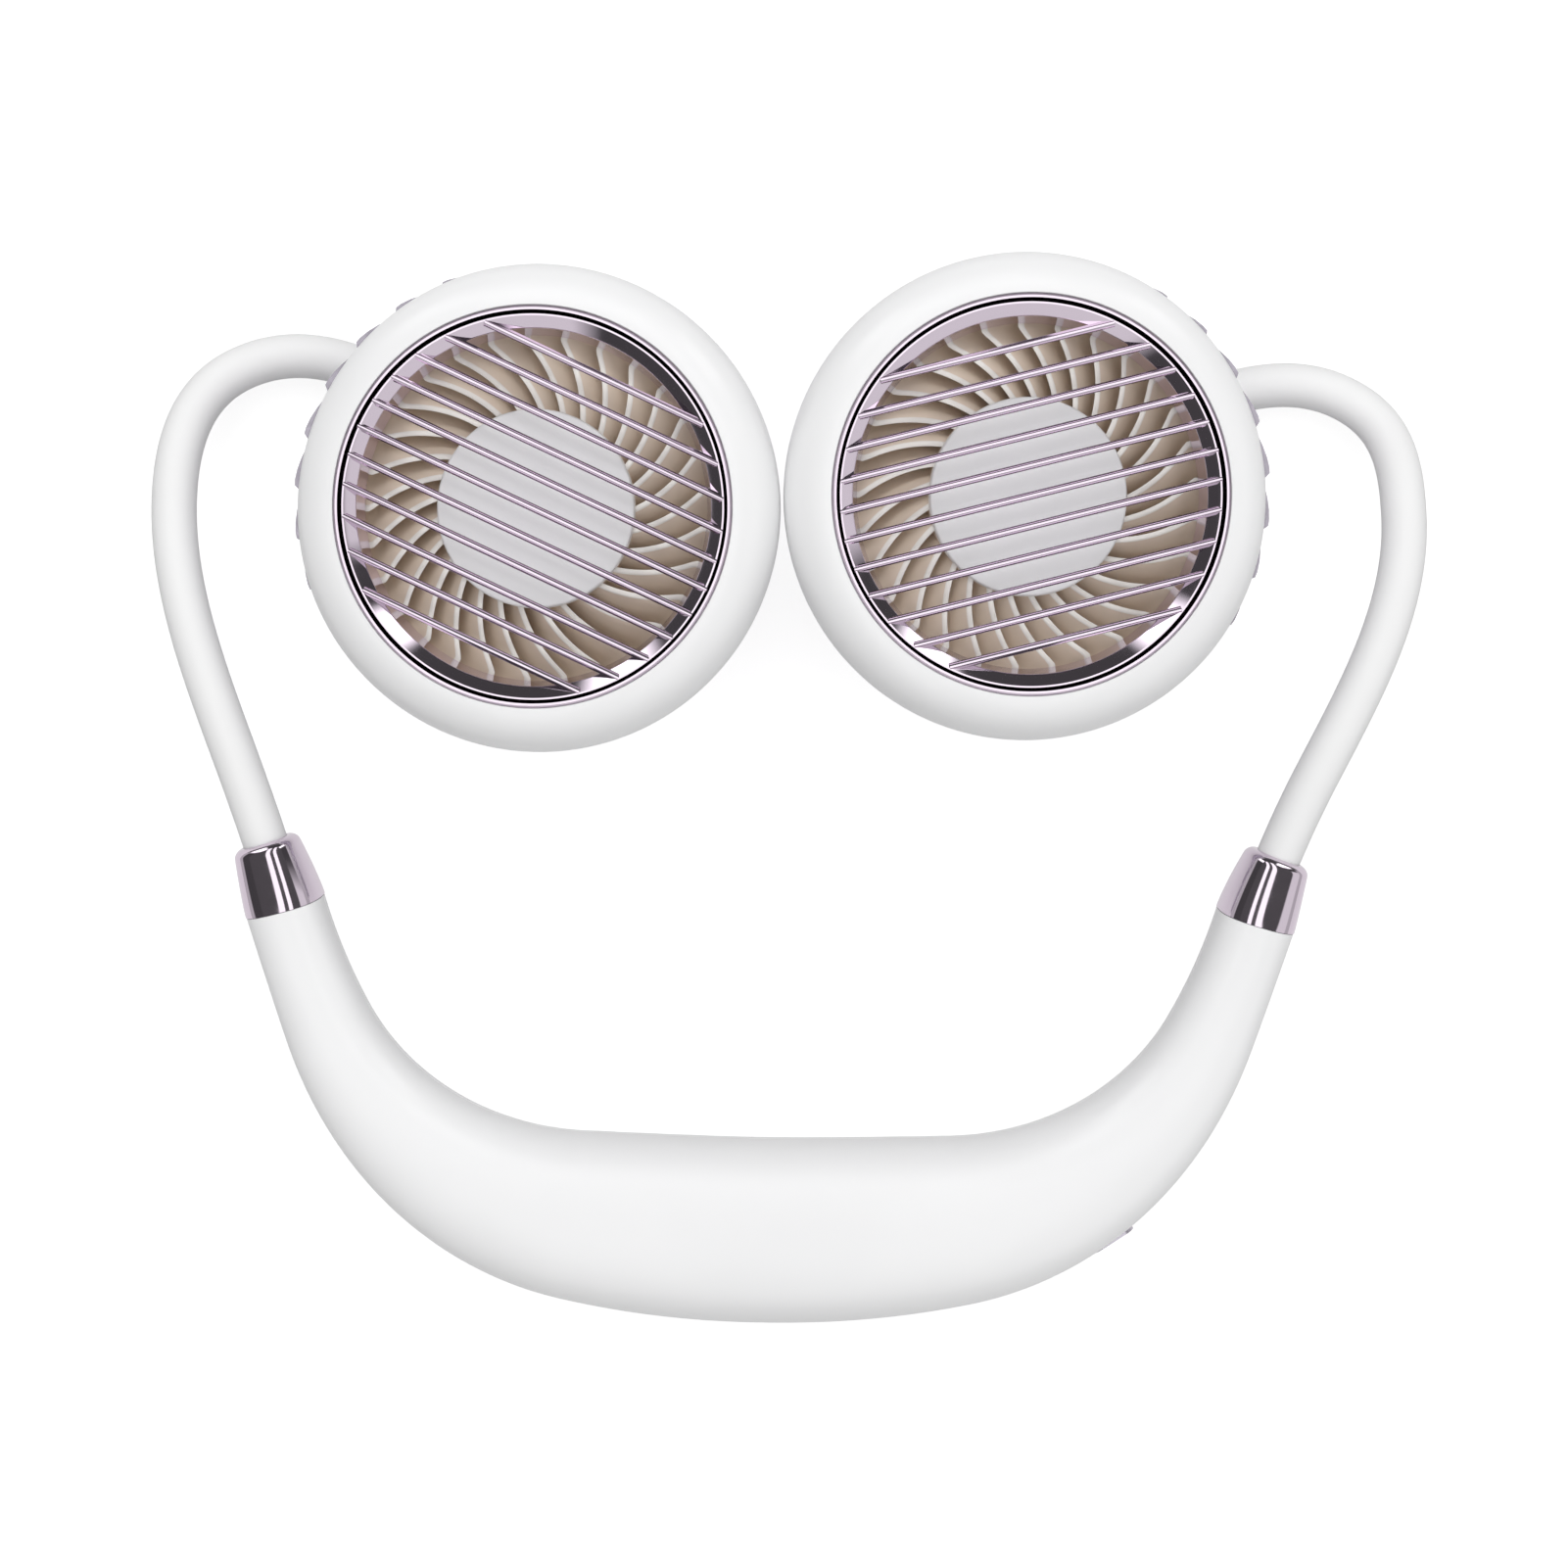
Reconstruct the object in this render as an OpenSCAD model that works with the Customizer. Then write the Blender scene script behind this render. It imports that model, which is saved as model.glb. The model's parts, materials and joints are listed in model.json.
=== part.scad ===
// Neck fan lying on its back: a hollow neckband, two flexible arms and two round fan heads.
// X runs to the right, Y away from the neckband, Z up through the fan grilles. Sizes are in mm.
// The origin is the middle of the footprint, on the surface that the fan rests on.

/* [Neckband] */
// Width of the neckband at its middle, seen from above
band_w = 30.8; // [29:0.2:36]
// Height of the neckband at its middle
band_h = 25; // [24:0.5:30]
// Width of the neckband where a ferrule closes it
band_end_w = 13.2; // [12.8:0.2:16]
// Height of the neckband where a ferrule closes it
band_end_h = 13.4; // [12.5:0.2:15]
// Wall of the neckband shells
band_wall = 1.8; // [1.4:0.1:2.2]
// Radius of the shallow curve along the back of the neck
nape_r = 254; // [220:1:300]
// Half angle of that curve
nape_turn = 7.2; // [6:0.1:9]
// Radius of the curve at each side of the neck
side_r = 54; // [50:0.5:60]
// Angle of the side curve
side_turn = 59.1; // [55:0.1:63]
// Radius of the last stretch of the neckband
end_r = 157.5; // [120:0.5:200]
// Angle of the last stretch
end_turn = 7.8; // [6:0.1:10]
// How far the ends of the neckband rise above its middle
band_rise = 3.6; // [1:0.1:5]
// Turn of the whole neckband on the table
band_turn = -0.85; // [-2:0.05:2]

/* [Arms] */
// Outer diameter of the soft sleeve
sleeve_d = 7.5; // [7:0.1:8]
// Wall of the soft sleeve
sleeve_wall = 1.25; // [1:0.05:1.5]
// Length of the plated ferrule
ferrule_len = 11.4; // [10:0.2:14]
// Length of arm between the ferrule and the first bend
root_len = 15.2; // [12:0.2:18]
// Height of the arm where it swings
swing_z = 19; // [17:0.5:20]
// Height of the arm at its outermost point
lift_z = 15; // [13:0.5:16]
// Height of the arm where it turns in behind the head
turn_z = 6.9; // [6.6:0.1:7.4]
// Lean of the left arm as it leaves its ferrule, from the line across the neck
lean_left = 70.5; // [66:0.5:76]
// Lean of the right arm as it leaves its ferrule
lean_right = 63; // [60:0.5:70]

/* [Heads] */
// Outer diameter of a fan head
head_d = 79.6; // [76:0.1:80]
// Depth of a fan head from its rear boss to the front of its bezel
head_h = 35; // [34:0.5:40]
// Radius of the rounded front edge of the bezel
bezel_round = 7.7; // [7:0.1:8]
// Wall of the bezel and the rear cover
head_wall = 1.8; // [1.5:0.1:2]
// Width of the conical wall inside the plated ring
cone_w = 3; // [2.6:0.1:3.6]
// How far the heads lean outward
lean_out = 2.5; // [0:0.5:4]
// How far the heads lean toward the neckband
lean_down = 3.5; // [0:0.5:6]
// Angle of the grille bars on the left head
bars_left = -25.3; // [-40:0.1:40]
// Angle of the grille bars on the right head
bars_right = 14; // [-40:0.1:40]

/* [Grille and fan] */
// Number of grille bars
bar_count = 11; // [7:2:13]
// Width of a grille bar
bar_w = 1.15; // [1:0.05:1.3]
// Number of fan blades
blade_count = 29; // [23:1:31]
// Thickness of a fan blade
blade_t = 0.9; // [0.8:0.05:1]
// Diameter of the fan hub
hub_d = 32.4; // [31:0.1:33]
// How far a blade sweeps round from root to tip
blade_sweep = 18.5; // [10:0.5:24]
// Number of ridges round the rear cover
ridge_count = 29; // [24:1:34]

/* [Hidden] */

// Fineness of round parts, of swept sections and of the ends of small parts
$fn = 96;
sleeve_sides = 16;
spine_sides = 10;
span_rings = 8;
root_rings = 5;
band_rings = 40;
half_points = 11;
overrun = 1;
fit = 0.05;
seam = 0.2;
gap = 0.15;
slope_step = 0.01;
left = -1;
right = 1;

// Places of the middle of the neckband and of the two heads, which nearly touch
band_x = -4;
band_y = -73.5;
heads_x = -1.205;
heads_room = 0.175;
head_left_y = 47.2;
head_right_y = 49.15;

// Neckband: the three curves of one half, and how width and height fade toward the ends
nape_len = nape_r * nape_turn * PI / 180;
side_len = side_r * side_turn * PI / 180;
end_len = end_r * end_turn * PI / 180;
half_len = nape_len + side_len + end_len;
fade_power = 2.33;
fade_bulge = 2.5;
rise_power = 5;
section_power = 2.6;
foot_flat = 0.35;

// Arm: radii, and how much of the spine is left out at each bend
sleeve_r = sleeve_d / 2;
bore_r = sleeve_r - sleeve_wall;
spine_r = bore_r - 0.15 * sleeve_wall;
spine_gap = 0.9 * spine_r;
anchor_len = 0.7 * sleeve_d;
anchor_depth = 1.2 * sleeve_d;
socket_depth = 0.8 * sleeve_d;
tail_len = 2.2 * sleeve_d;

// Head: heights above the rear boss, and radii
head_r = head_d / 2;
widest_z = head_h - bezel_round;
boss_r = 1.5 * sleeve_d;
boss_h = 1.25 * sleeve_d;
socket_z = 0.6 * sleeve_d;
ring_over = 0.2;
ring_r = head_r - bezel_round + ring_over;
lip_t = 1.3;
lip_h = lip_t / 2;
cone_h = 5.2;
cone_drop = 1.6;
collar_lean = 0.8;
land = ring_r - lip_t;
mouth_r = land - cone_w;
bar_ends_share = 0.8;
bar_pitch = 2 * mouth_r / (bar_count + bar_ends_share);
frame_top = head_h - cone_h - fit;
seat_h = 1.2 * head_wall;
frame_z = boss_h + head_wall + seat_h;
duct_t = 1.4;
tip_room = 0.5;
seat_in = 1;
duct_r = land + 2 * fit - duct_t;
fan_r = duct_r - tip_room;
part_front = 3.7;
part_foot = 10.6;
part_high = widest_z + part_front;
part_low = boss_h + part_foot;
part_z = (part_high + part_low) / 2;
part_slope_share = (part_high - part_low) / head_d;
ridge_depth = 0.9;
ridge_phase = 2.4;
ridge_turn_shares = [0, 0.2, 0.42, 0.62, 0.73, 0.82];
ridge_rise_shares = [0, 0.42, 0.8, 1, 0.95, 0];
cover_in = 0.1;
cover_r = head_r - cover_in;
waist_in = 1.5;
heel_in = 3.2;
vent_count = 30;
vent_w = 2.2;
hub_r = hub_d / 2;
vent_out = duct_r - seat_in - head_wall;

// Fan: hub, blades, shaft and motor
hub_t = 1.6;
cap_t = 1;
bar_h = 1.6;
bar_drop = 0.5;
cap_drop = 2.2;
cap_top = head_h - bar_drop - bar_h - cap_drop;
hub_top = cap_top - cap_t;
hub_lift = 4.4;
hub_bottom = frame_z + hub_lift;
hub_rim = 0.8;
blade_bottom = hub_bottom + hub_rim;
blade_top_root = hub_top - hub_rim / 2;
blade_top_tip = frame_top - tip_room;
blade_lean = 14;
blade_stations = 6;
straight_share = 0.86;
shaft_r = 1;
motor_room = 1.2;
motor_r = hub_r - hub_t - motor_room;
plate_t = 2;
plate_lift = 0.4;
motor_bottom = frame_z + plate_lift + plate_t;
motor_top = hub_top - hub_t - motor_room / 2;
strut_count = 5;
strut_w = 3.2;

// Screws of the heads and of the neckband
screw_r = 1;
screw_head_r = 1.9;
screw_head_h = 1.2;
post_r = 1.9;
head_screws = 3;
head_screw_r = duct_r + duct_t + gap + post_r;
head_screw_len = 9;

// Places along the neckband, measured from its middle, for its screws and electronics
cell_len = 65;
board_len = 27;
board_room = 4;
board_place = cell_len / 2 + board_room + board_len / 2;
screw_off_cell = 13.5;
screw_off_board = 8.5;
screw_off_end = 17.8;
screw_places = [
    screw_off_end - half_len, -cell_len / 2 - screw_off_cell,
    board_place + board_len / 2 + screw_off_board, half_len - screw_off_end
];
board_w = 13;
board_t = 1.2;
board_in = 2.9;
board_drop = 1.6;
switch_in = 4;

// Battery: one round cell
cell_d = 18.4;
cell_y = 1.2;
terminal_r = 3;
terminal_h = 1;
cradle_place = 21;
cradle_t = 2.4;
cradle_w = 12;

// Points and directions

function unit(v) = v / norm(v);
function turned(p, angle) = [p.x * cos(angle) - p.y * sin(angle), p.x * sin(angle) + p.y * cos(angle)];
function arc_step(heading, radius, turn) =
    radius * [sin(heading + turn) - sin(heading), cos(heading) - cos(heading + turn)];
function arc_deg(s, radius) = s / radius * 180 / PI;

// Right half of the neckband's centre line: plan point and heading at a distance from its middle
function nape_end() = arc_step(0, nape_r, nape_turn);
function side_end() = nape_end() + arc_step(nape_turn, side_r, side_turn);
function half_point(s) =
    s <= nape_len ? arc_step(0, nape_r, arc_deg(s, nape_r))
    : s <= nape_len + side_len
    ? nape_end() + arc_step(nape_turn, side_r, arc_deg(s - nape_len, side_r))
    : side_end() + arc_step(nape_turn + side_turn, end_r, arc_deg(s - nape_len - side_len, end_r));
function half_heading(s) =
    s <= nape_len ? arc_deg(s, nape_r)
    : s <= nape_len + side_len ? nape_turn + arc_deg(s - nape_len, side_r)
    : nape_turn + side_turn + arc_deg(s - nape_len - side_len, end_r);

// Whole centre line: distances on the left are negative
function band_heading(s) = (s < 0 ? -1 : 1) * half_heading(abs(s));
function band_plan(s) = let (p = half_point(abs(s))) [s < 0 ? -p.x : p.x, p.y];
function band_rise_at(s) = band_rise * pow(abs(s) / half_len, rise_power);
function band_slope(s) =
    (band_rise_at(s + slope_step) - band_rise_at(s - slope_step)) / (2 * slope_step);
function band_fade(s) = pow(1 - pow(min(abs(s) / half_len, 1), fade_power), fade_bulge);
function band_w_at(s) = band_end_w + (band_w - band_end_w) * band_fade(s);
function band_h_at(s) = band_end_h + (band_h - band_end_h) * band_fade(s);
function band_z(s) = band_h / 2 - foot_flat + band_rise_at(s);
function band_point(s) = let (p = band_plan(s)) [p.x, p.y, band_z(s)];
function band_tangent(s) =
    unit([cos(band_heading(s)), sin(band_heading(s)), band_slope(s)]);

// A point of a section that faces along a tangent: across to the left of it, and upward
function across(t) = unit(cross([0, 0, 1], t));
function section_point(p, t, x, z) = p + x * across(t) + z * cross(t, across(t));
function ring(p, t, r, sides) =
    [for (i = [0 : sides - 1]) section_point(p, t, r * cos(360 * i / sides), r * sin(360 * i / sides))];

// Half of a rounded section, from one side over the top to the other
function bulge(v) = sign(v) * pow(abs(v), 2 / section_power);
function half_section(w, h) =
    let (start = asin(pow(seam / h, section_power / 2)))
    [
        for (i = [0 : half_points - 1])
            let (a = start + (180 - 2 * start) * i / (half_points - 1))
            [w / 2 * bulge(cos(a)), h / 2 * bulge(sin(a))]
    ];

// Arms: knots of the centre line, each a point and a direction, from the band to the head boss
function head_x(side) = heads_x + side * (head_r + heads_room);
function head_y(side) = side < 0 ? head_left_y : head_right_y;
function head_axis(side) =
    [side * cos(lean_down) * sin(lean_out), -sin(lean_down), cos(lean_down) * cos(lean_out)];
function head_z() = widest_z * head_axis(right).z + boss_r * sqrt(1 - pow(head_axis(right).z, 2));
function head_point(side, z) =
    [head_x(side), head_y(side), head_z()] + (z - widest_z) * head_axis(side);

function in_frame(p) = let (q = turned(p, band_turn)) [q.x + band_x, q.y + band_y, p.z];
function in_frame_turn(v) = let (q = turned(v, band_turn)) [q.x, q.y, v.z];
function toward(side, heading, slope) = unit([side * cos(heading), sin(heading), slope]);

// The end of the neckband, with its tangent pointing out along the arm
function end_knot(side) =
    [in_frame(band_point(side * half_len)), in_frame_turn(side * band_tangent(side * half_len))];
function lean(side) = side < 0 ? lean_left : lean_right;
swing_slope = 0.06;
function swing_knot(side) =
    let (
        a = end_knot(side),
        t = toward(side, lean(side), 0),
        way = unit([a[1].x + t.x, a[1].y + t.y]),
        reach = ferrule_len + root_len
    )
    [[a[0].x + reach * way.x, a[0].y + reach * way.y, swing_z], toward(side, lean(side), swing_slope)];

// Outermost point, beside the head: how far past the rim and how far up from the head's middle
past_rim_left = 22.9;
past_rim_right = 25.3;
up_rim_left = 3.8;
up_rim_right = -1.7;
lift_slope = -0.2;
function lift_knot(side) = [
    [
        head_x(side) + side * (head_r + (side < 0 ? past_rim_left : past_rim_right)),
        head_y(side) + (side < 0 ? up_rim_left : up_rim_right),
        lift_z
    ],
    toward(side, 90, lift_slope)
];

// Where the arm turns in: past the head's rim, up from its middle, and its heading
turn_out_left = 13.7;
turn_out_right = 19.4;
turn_up_left = 26.3;
turn_up_right = 17.9;
turn_heading_left = 152;
turn_heading_right = 144;
turn_slope = -0.12;
function turn_knot(side) = [
    [
        head_x(side) + side * (head_r + (side < 0 ? turn_out_left : turn_out_right)),
        head_y(side) + (side < 0 ? turn_up_left : turn_up_right),
        turn_z
    ],
    toward(side, side < 0 ? turn_heading_left : turn_heading_right, turn_slope)
];

// The straight tail in the socket of the head's boss
tail_heading_left = 221;
tail_heading_right = 209;
function tail_way(side) = toward(side, side < 0 ? tail_heading_left : tail_heading_right, 0);
function tail_end(side) = head_point(side, socket_z) - (boss_r - socket_depth) * tail_way(side);
function tail_knot(side) = [tail_end(side) - tail_len * tail_way(side), tail_way(side)];
function last_knot(side) = [tail_end(side), tail_way(side)];

// A smooth span between two knots: its point and direction at a share of the way
function handle(a, b) = norm(b[0] - a[0]) / pow(cos(acos(a[1] * b[1]) / 4), 2);
function span_at(a, b, u) =
    let (m = handle(a, b))
    [
        (2 * u * u * u - 3 * u * u + 1) * a[0] + (u * u * u - 2 * u * u + u) * m * a[1]
        + (3 * u * u - 2 * u * u * u) * b[0] + (u * u * u - u * u) * m * b[1],
        unit(
            (6 * u * u - 6 * u) * a[0] + (3 * u * u - 4 * u + 1) * m * a[1]
            + (6 * u - 6 * u * u) * b[0] + (3 * u * u - 2 * u) * m * b[1]
        )
    ];
function span(a, b, from, to, n = span_rings) =
    [for (i = [0 : n]) span_at(a, b, from + (to - from) * i / n)];
function share_of(a, b, dist) = dist / norm(b[0] - a[0]);

// Swept solids

// Closed skin over a list of rings with equal numbers of points
module skin(rings) {
    n = len(rings[0]);
    last = len(rings) - 1;
    polyhedron(
        points = [for (r = rings) each r],
        faces = concat(
            [[for (i = [0 : n - 1]) i]],
            [
                for (k = [0 : last - 1]) for (i = [0 : n - 1])
                    let (j = (i + 1) % n) each [
                        [k * n + i, (k + 1) * n + i, (k + 1) * n + j],
                        [k * n + i, (k + 1) * n + j, k * n + j]
                    ]
            ],
            [[for (i = [n - 1 : -1 : 0]) last * n + i]]
        )
    );
}

// Tube between outer and inner rings with equal numbers of points
module tube_skin(outer, inner) {
    n = len(outer[0]);
    last = len(outer) - 1;
    shift = n * len(outer);
    polyhedron(
        points = concat([for (r = outer) each r], [for (r = inner) each r]),
        faces = [
            for (i = [0 : n - 1])
                let (j = (i + 1) % n) each concat(
                    [
                        for (k = [0 : last - 1]) each [
                            [k * n + i, (k + 1) * n + i, (k + 1) * n + j],
                            [k * n + i, (k + 1) * n + j, k * n + j],
                            [shift + k * n + i, shift + k * n + j, shift + (k + 1) * n + j],
                            [shift + k * n + i, shift + (k + 1) * n + j, shift + (k + 1) * n + i]
                        ]
                    ],
                    [
                        [i, j, shift + j], [i, shift + j, shift + i],
                        [last * n + i, shift + last * n + i, shift + last * n + j],
                        [last * n + i, shift + last * n + j, last * n + j]
                    ]
                )
        ]
    );
}

module sleeve(places) {
    color("whitesmoke")
        tube_skin(
            [for (k = places) ring(k[0], k[1], sleeve_r, sleeve_sides)],
            [for (k = places) ring(k[0], k[1], bore_r, sleeve_sides)]
        );
}

module spine(places) {
    color("silver") skin([for (k = places) ring(k[0], k[1], spine_r, spine_sides)]);
}

// Neckband pieces

module in_band() {
    translate([band_x, band_y, 0]) rotate(band_turn) children();
}

// Stands a shape on the neckband's centre line: x along the band, y toward the neck
module at_band(s) {
    p = band_plan(s);
    translate([p.x, p.y, 0]) rotate(band_heading(s)) children();
}

// One half shell, as a channel swept from end to end; flip is -1 for the lower half
module band_channel(flip) {
    skin([
        for (i = [0 : band_rings])
            let (
                s = half_len * (2 * i / band_rings - 1),
                w = band_w_at(s),
                h = band_h_at(s),
                p = band_point(s),
                t = band_tangent(s),
                outer = half_section(w, h),
                inner = half_section(w - 2 * band_wall, h - 2 * band_wall),
                outline = concat(outer, [for (j = [half_points - 1 : -1 : 0]) inner[j]])
            )
            flip > 0
            ? [for (q = outline) section_point(p, t, q.x, q.y)]
            : [for (q = outline) section_point(p, t, -q.x, -q.y)]
    ]);
}

// Height of the joint plane, and of the inside of the shells, at a place along the band
function joint_z(s) = band_z(s);
function floor_z(s) = band_z(s) - band_h_at(s) / 2 + band_wall;
function roof_z(s) = band_z(s) + band_h_at(s) / 2 - band_wall;

// Stands a shape on the face of the outer wall at the board: x along the wall, y inward
function board_turn() =
    atan((band_w_at(board_place - slope_step) - band_w_at(board_place + slope_step)) / (4 * slope_step));
module at_board() {
    in_band() at_band(board_place)
        translate([0, -band_w_at(board_place) / 2, 0]) rotate(board_turn()) children();
}

// A slot through the outer wall, centred on the joint plane
module wall_slot(along) {
    at_board()
        translate([along, 2 * band_wall, board_z + port_h / 2])
            rotate([90, 0, 0]) linear_extrude(3 * band_wall) children();
}

module rounded_slot(w, h) {
    for (x = [-1, 1]) translate([x * (w - h) / 2, 0]) circle(d = h);
    square([w - h, h], center = true);
}

// Board: top face level, and the parts that look out through the outer wall
board_z = band_h / 2 - foot_flat - board_drop;
port_w = 9;
port_h = 3.2;
port_len = 7.3;
port_along = -5.7;
port_shell = 0.35;
button_w = 8;
button_h = 3.2;
button_along = 5.4;
button_travel = 0.8;
lens_d = 1.8;
lens_along = 0;

module band_top_shell() {
    color("white") difference() {
        in_band() difference() {
            union() {
                band_channel(1);
                for (s = screw_places)
                    at_band(s)
                        translate([0, 0, joint_z(s) + seam])
                            cylinder(r = post_r, h = roof_z(s) - joint_z(s) - seam + band_wall / 2);
            }
            for (s = screw_places)
                at_band(s)
                    translate([0, 0, joint_z(s) - overrun])
                        cylinder(r = screw_r + fit, h = (roof_z(s) - joint_z(s)) * 0.8 + overrun);
        }
        board_slots();
    }
}

// Openings of the outer wall for the port, the button and the indicator light
module board_slots() {
    wall_slot(port_along) rounded_slot(port_w + 2 * gap, port_h + 2 * gap);
    wall_slot(button_along) rounded_slot(button_w + 2 * gap, button_h + 2 * gap);
    wall_slot(lens_along) circle(r = lens_d / 2 + gap);
}

module band_bottom_shell() {
    color("white") difference() {
        union() {
            in_band() bottom_body();
            board_posts();
        }
        board_slots();
    }
}

// Lower channel with its screw posts and battery cradle, cut flat where it stands
module bottom_body() {
    difference() {
        union() {
            band_channel(-1);
            for (s = screw_places)
                at_band(s)
                    translate([0, 0, floor_z(s) - band_wall / 2])
                        cylinder(r = post_r, h = joint_z(s) - seam - floor_z(s) + band_wall / 2);
            for (x = [-cradle_place, cradle_place])
                difference() {
                    translate([x - cradle_t / 2, cell_y - cradle_w / 2, floor_z(0) - band_wall / 2])
                        cube([cradle_t, cradle_w, cell_d / 3]);
                    cell_round(cell_d / 2 + gap);
                }
        }
        for (s = screw_places)
            at_band(s)
                translate([0, 0, floor_z(s) - 2 * band_wall]) {
                    cylinder(r = screw_r + 2 * fit, h = band_h);
                    cylinder(r = screw_head_r + gap, h = band_wall + 1.2 * screw_head_h);
                }
        translate([-half_len, -band_w, -band_h]) cube([2 * half_len, 2 * band_w, band_h]);
    }
}

// The battery lies along the middle of the band
module cell_round(r) {
    translate([-cell_len / 2 - overrun, cell_y, cell_z()])
        rotate([0, 90, 0]) cylinder(r = r, h = cell_len + 2 * overrun);
}
function cell_z() = band_h / 2 - foot_flat;

module battery_cell() {
    color("royalblue") in_band()
        translate([-cell_len / 2, cell_y, cell_z()]) rotate([0, 90, 0]) {
            cylinder(d = cell_d, h = cell_len - terminal_h);
            cylinder(r = terminal_r, h = cell_len);
        }
}

// Posts that the control board stands on
post_in = 3;
module board_posts() {
    at_board()
        for (x = [-1, 1])
            translate([x * (board_len / 2 - post_in), board_mid(), floor_z(board_place) - band_wall / 2])
                cylinder(r = post_r / 1.4, h = board_z - board_t - floor_z(board_place) + band_wall / 2);
}

// Distance of the board's middle from the face of the outer wall
function board_mid() = band_wall + board_in + board_w / 2;

module control_board() {
    color("seagreen") at_board()
        translate([-board_len / 2, board_mid() - board_w / 2, board_z - board_t])
            cube([board_len, board_w, board_t]);
}

module charging_port() {
    color("gainsboro") at_board()
        translate([port_along, band_wall / 2 + port_len, board_z + port_h / 2])
            rotate([90, 0, 0])
                difference() {
                    linear_extrude(port_len) rounded_slot(port_w, port_h);
                    translate([0, 0, port_len * 0.2])
                        linear_extrude(port_len) difference() {
                            rounded_slot(port_w - 2 * port_shell, port_h - 2 * port_shell);
                            square([port_w * 0.7, port_h * 0.2], center = true);
                        }
                }
}

switch_w = 6;
switch_d = 3.5;
switch_h = 3.4;
stem_len = 1.2;
stem_r = 0.9;
module power_switch() {
    color("dimgray") at_board()
        translate([button_along, switch_front() + switch_d, board_z]) {
            translate([-switch_w / 2, -switch_d, 0]) cube([switch_w, switch_d, switch_h]);
            translate([0, -switch_d + overrun, button_h / 2])
                rotate([90, 0, 0]) cylinder(r = stem_r, h = stem_len + overrun);
        }
}
function switch_front() = band_wall + switch_in;
function button_back() = switch_front() - stem_len - button_travel - gap;

// The button: a cap in the wall and a wider flange behind it that keeps it in
module power_button() {
    proud = 0.3;
    flange = 0.9;
    flange_out = 0.4;
    color("thistle") at_board()
        translate([button_along, button_back(), board_z + button_h / 2])
            rotate([90, 0, 0]) {
                linear_extrude(button_back() + proud)
                    rounded_slot(button_w, button_h);
                linear_extrude(flange) rounded_slot(button_w + 2 * flange_out, button_h + 2 * flange_out);
            }
}

module indicator_lens() {
    color("honeydew") at_board()
        translate([lens_along, band_wall + board_in + lens_d, board_z + port_h / 2])
            rotate([90, 0, 0]) cylinder(d = lens_d, h = lens_d + board_in + band_wall);
}

module band_screws() {
    color("silver") in_band()
        for (s = screw_places)
            at_band(s)
                translate([0, 0, floor_z(s) - band_wall + screw_head_h * 0.2]) {
                    cylinder(r = screw_head_r, h = screw_head_h);
                    cylinder(r = screw_r, h = (roof_z(s) - floor_z(s)) * 0.8);
                }
}

// Arm pieces

// Plated ferrule: it tapers from the band's end to a rounded mouth round the sleeve
mouth_wall = 1.5;
mouth_round = 1.4;
taper_power = 1.35;
ferrule_shares = [0, 0.25, 0.5, 0.72, 0.89, 0.93, 0.97, 0.99, 1];
function ferrule_ring(p, t, w, h, sides) = [
    for (i = [0 : sides - 1])
        let (a = 360 * i / sides)
        section_point(p, t, w / 2 * bulge(cos(a)), h / 2 * bulge(sin(a)))
];
ferrule_sides = 20;

// Width or height of the ferrule at a share of the way from the band's end to its mouth
function ferrule_size(u, full) =
    let (
        mouth = sleeve_d + 2 * mouth_wall,
        rounding = max(0, 1 - (1 - u) * ferrule_len / mouth_round)
    )
    full - (full - mouth) * pow(u, taper_power) - 2 * mouth_round * (1 - sqrt(1 - pow(rounding, 2)));

module ferrule(side) {
    a = end_knot(side);
    b = swing_knot(side);
    far = share_of(a, b, ferrule_len);
    near = share_of(a, b, 2 * fit);
    places = [for (u = ferrule_shares) span_at(a, b, near + (far - near) * u)];
    color("plum")
        tube_skin(
            [
                for (i = [0 : len(ferrule_shares) - 1])
                    let (u = ferrule_shares[i])
                    ferrule_ring(
                        places[i][0], places[i][1],
                        ferrule_size(u, band_end_w), ferrule_size(u, band_end_h), ferrule_sides
                    )
            ],
            [for (k = places) ring(k[0], k[1], sleeve_r + fit, ferrule_sides)]
        );
}

// Steel collar crimped on the spine inside the band's end
module anchor(side) {
    a = end_knot(side);
    color("silver")
        translate(a[0] - anchor_depth * a[1])
            rotate([0, acos(a[1].z), atan2(a[1].y, a[1].x)])
                difference() {
                    cylinder(r = band_end_h / 2 - band_wall - 10 * fit, h = anchor_len);
                    translate([0, 0, -overrun]) cylinder(r = spine_r + fit, h = anchor_len + 2 * overrun);
                }
}

sleeve_in = 3;
module sleeve_root(side) {
    a = end_knot(side);
    b = swing_knot(side);
    sleeve(span(a, b, share_of(a, b, sleeve_in), 1, root_rings));
}
module sleeve_lower(side) sleeve(span(swing_knot(side), lift_knot(side), 0, 1));
module sleeve_upper(side) sleeve(span(lift_knot(side), turn_knot(side), 0, 1));
module sleeve_tip(side)
    sleeve(concat(span(turn_knot(side), tail_knot(side), 0, 1), [last_knot(side)]));

module spine_root(side) {
    a = end_knot(side);
    b = swing_knot(side);
    start = [a[0] - (anchor_depth + overrun) * a[1], a[1]];
    spine(concat([start], span(a, b, 0, 1 - share_of(a, b, spine_gap), root_rings)));
}
module spine_between(a, b) {
    cut = share_of(a, b, spine_gap);
    spine(span(a, b, cut, 1 - cut));
}
module spine_lower(side) spine_between(swing_knot(side), lift_knot(side));
module spine_upper(side) spine_between(lift_knot(side), turn_knot(side));
module spine_tip(side) {
    a = turn_knot(side);
    b = tail_knot(side);
    spine(concat(span(a, b, share_of(a, b, spine_gap), 1), [last_knot(side)]));
}

// Head pieces

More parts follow.
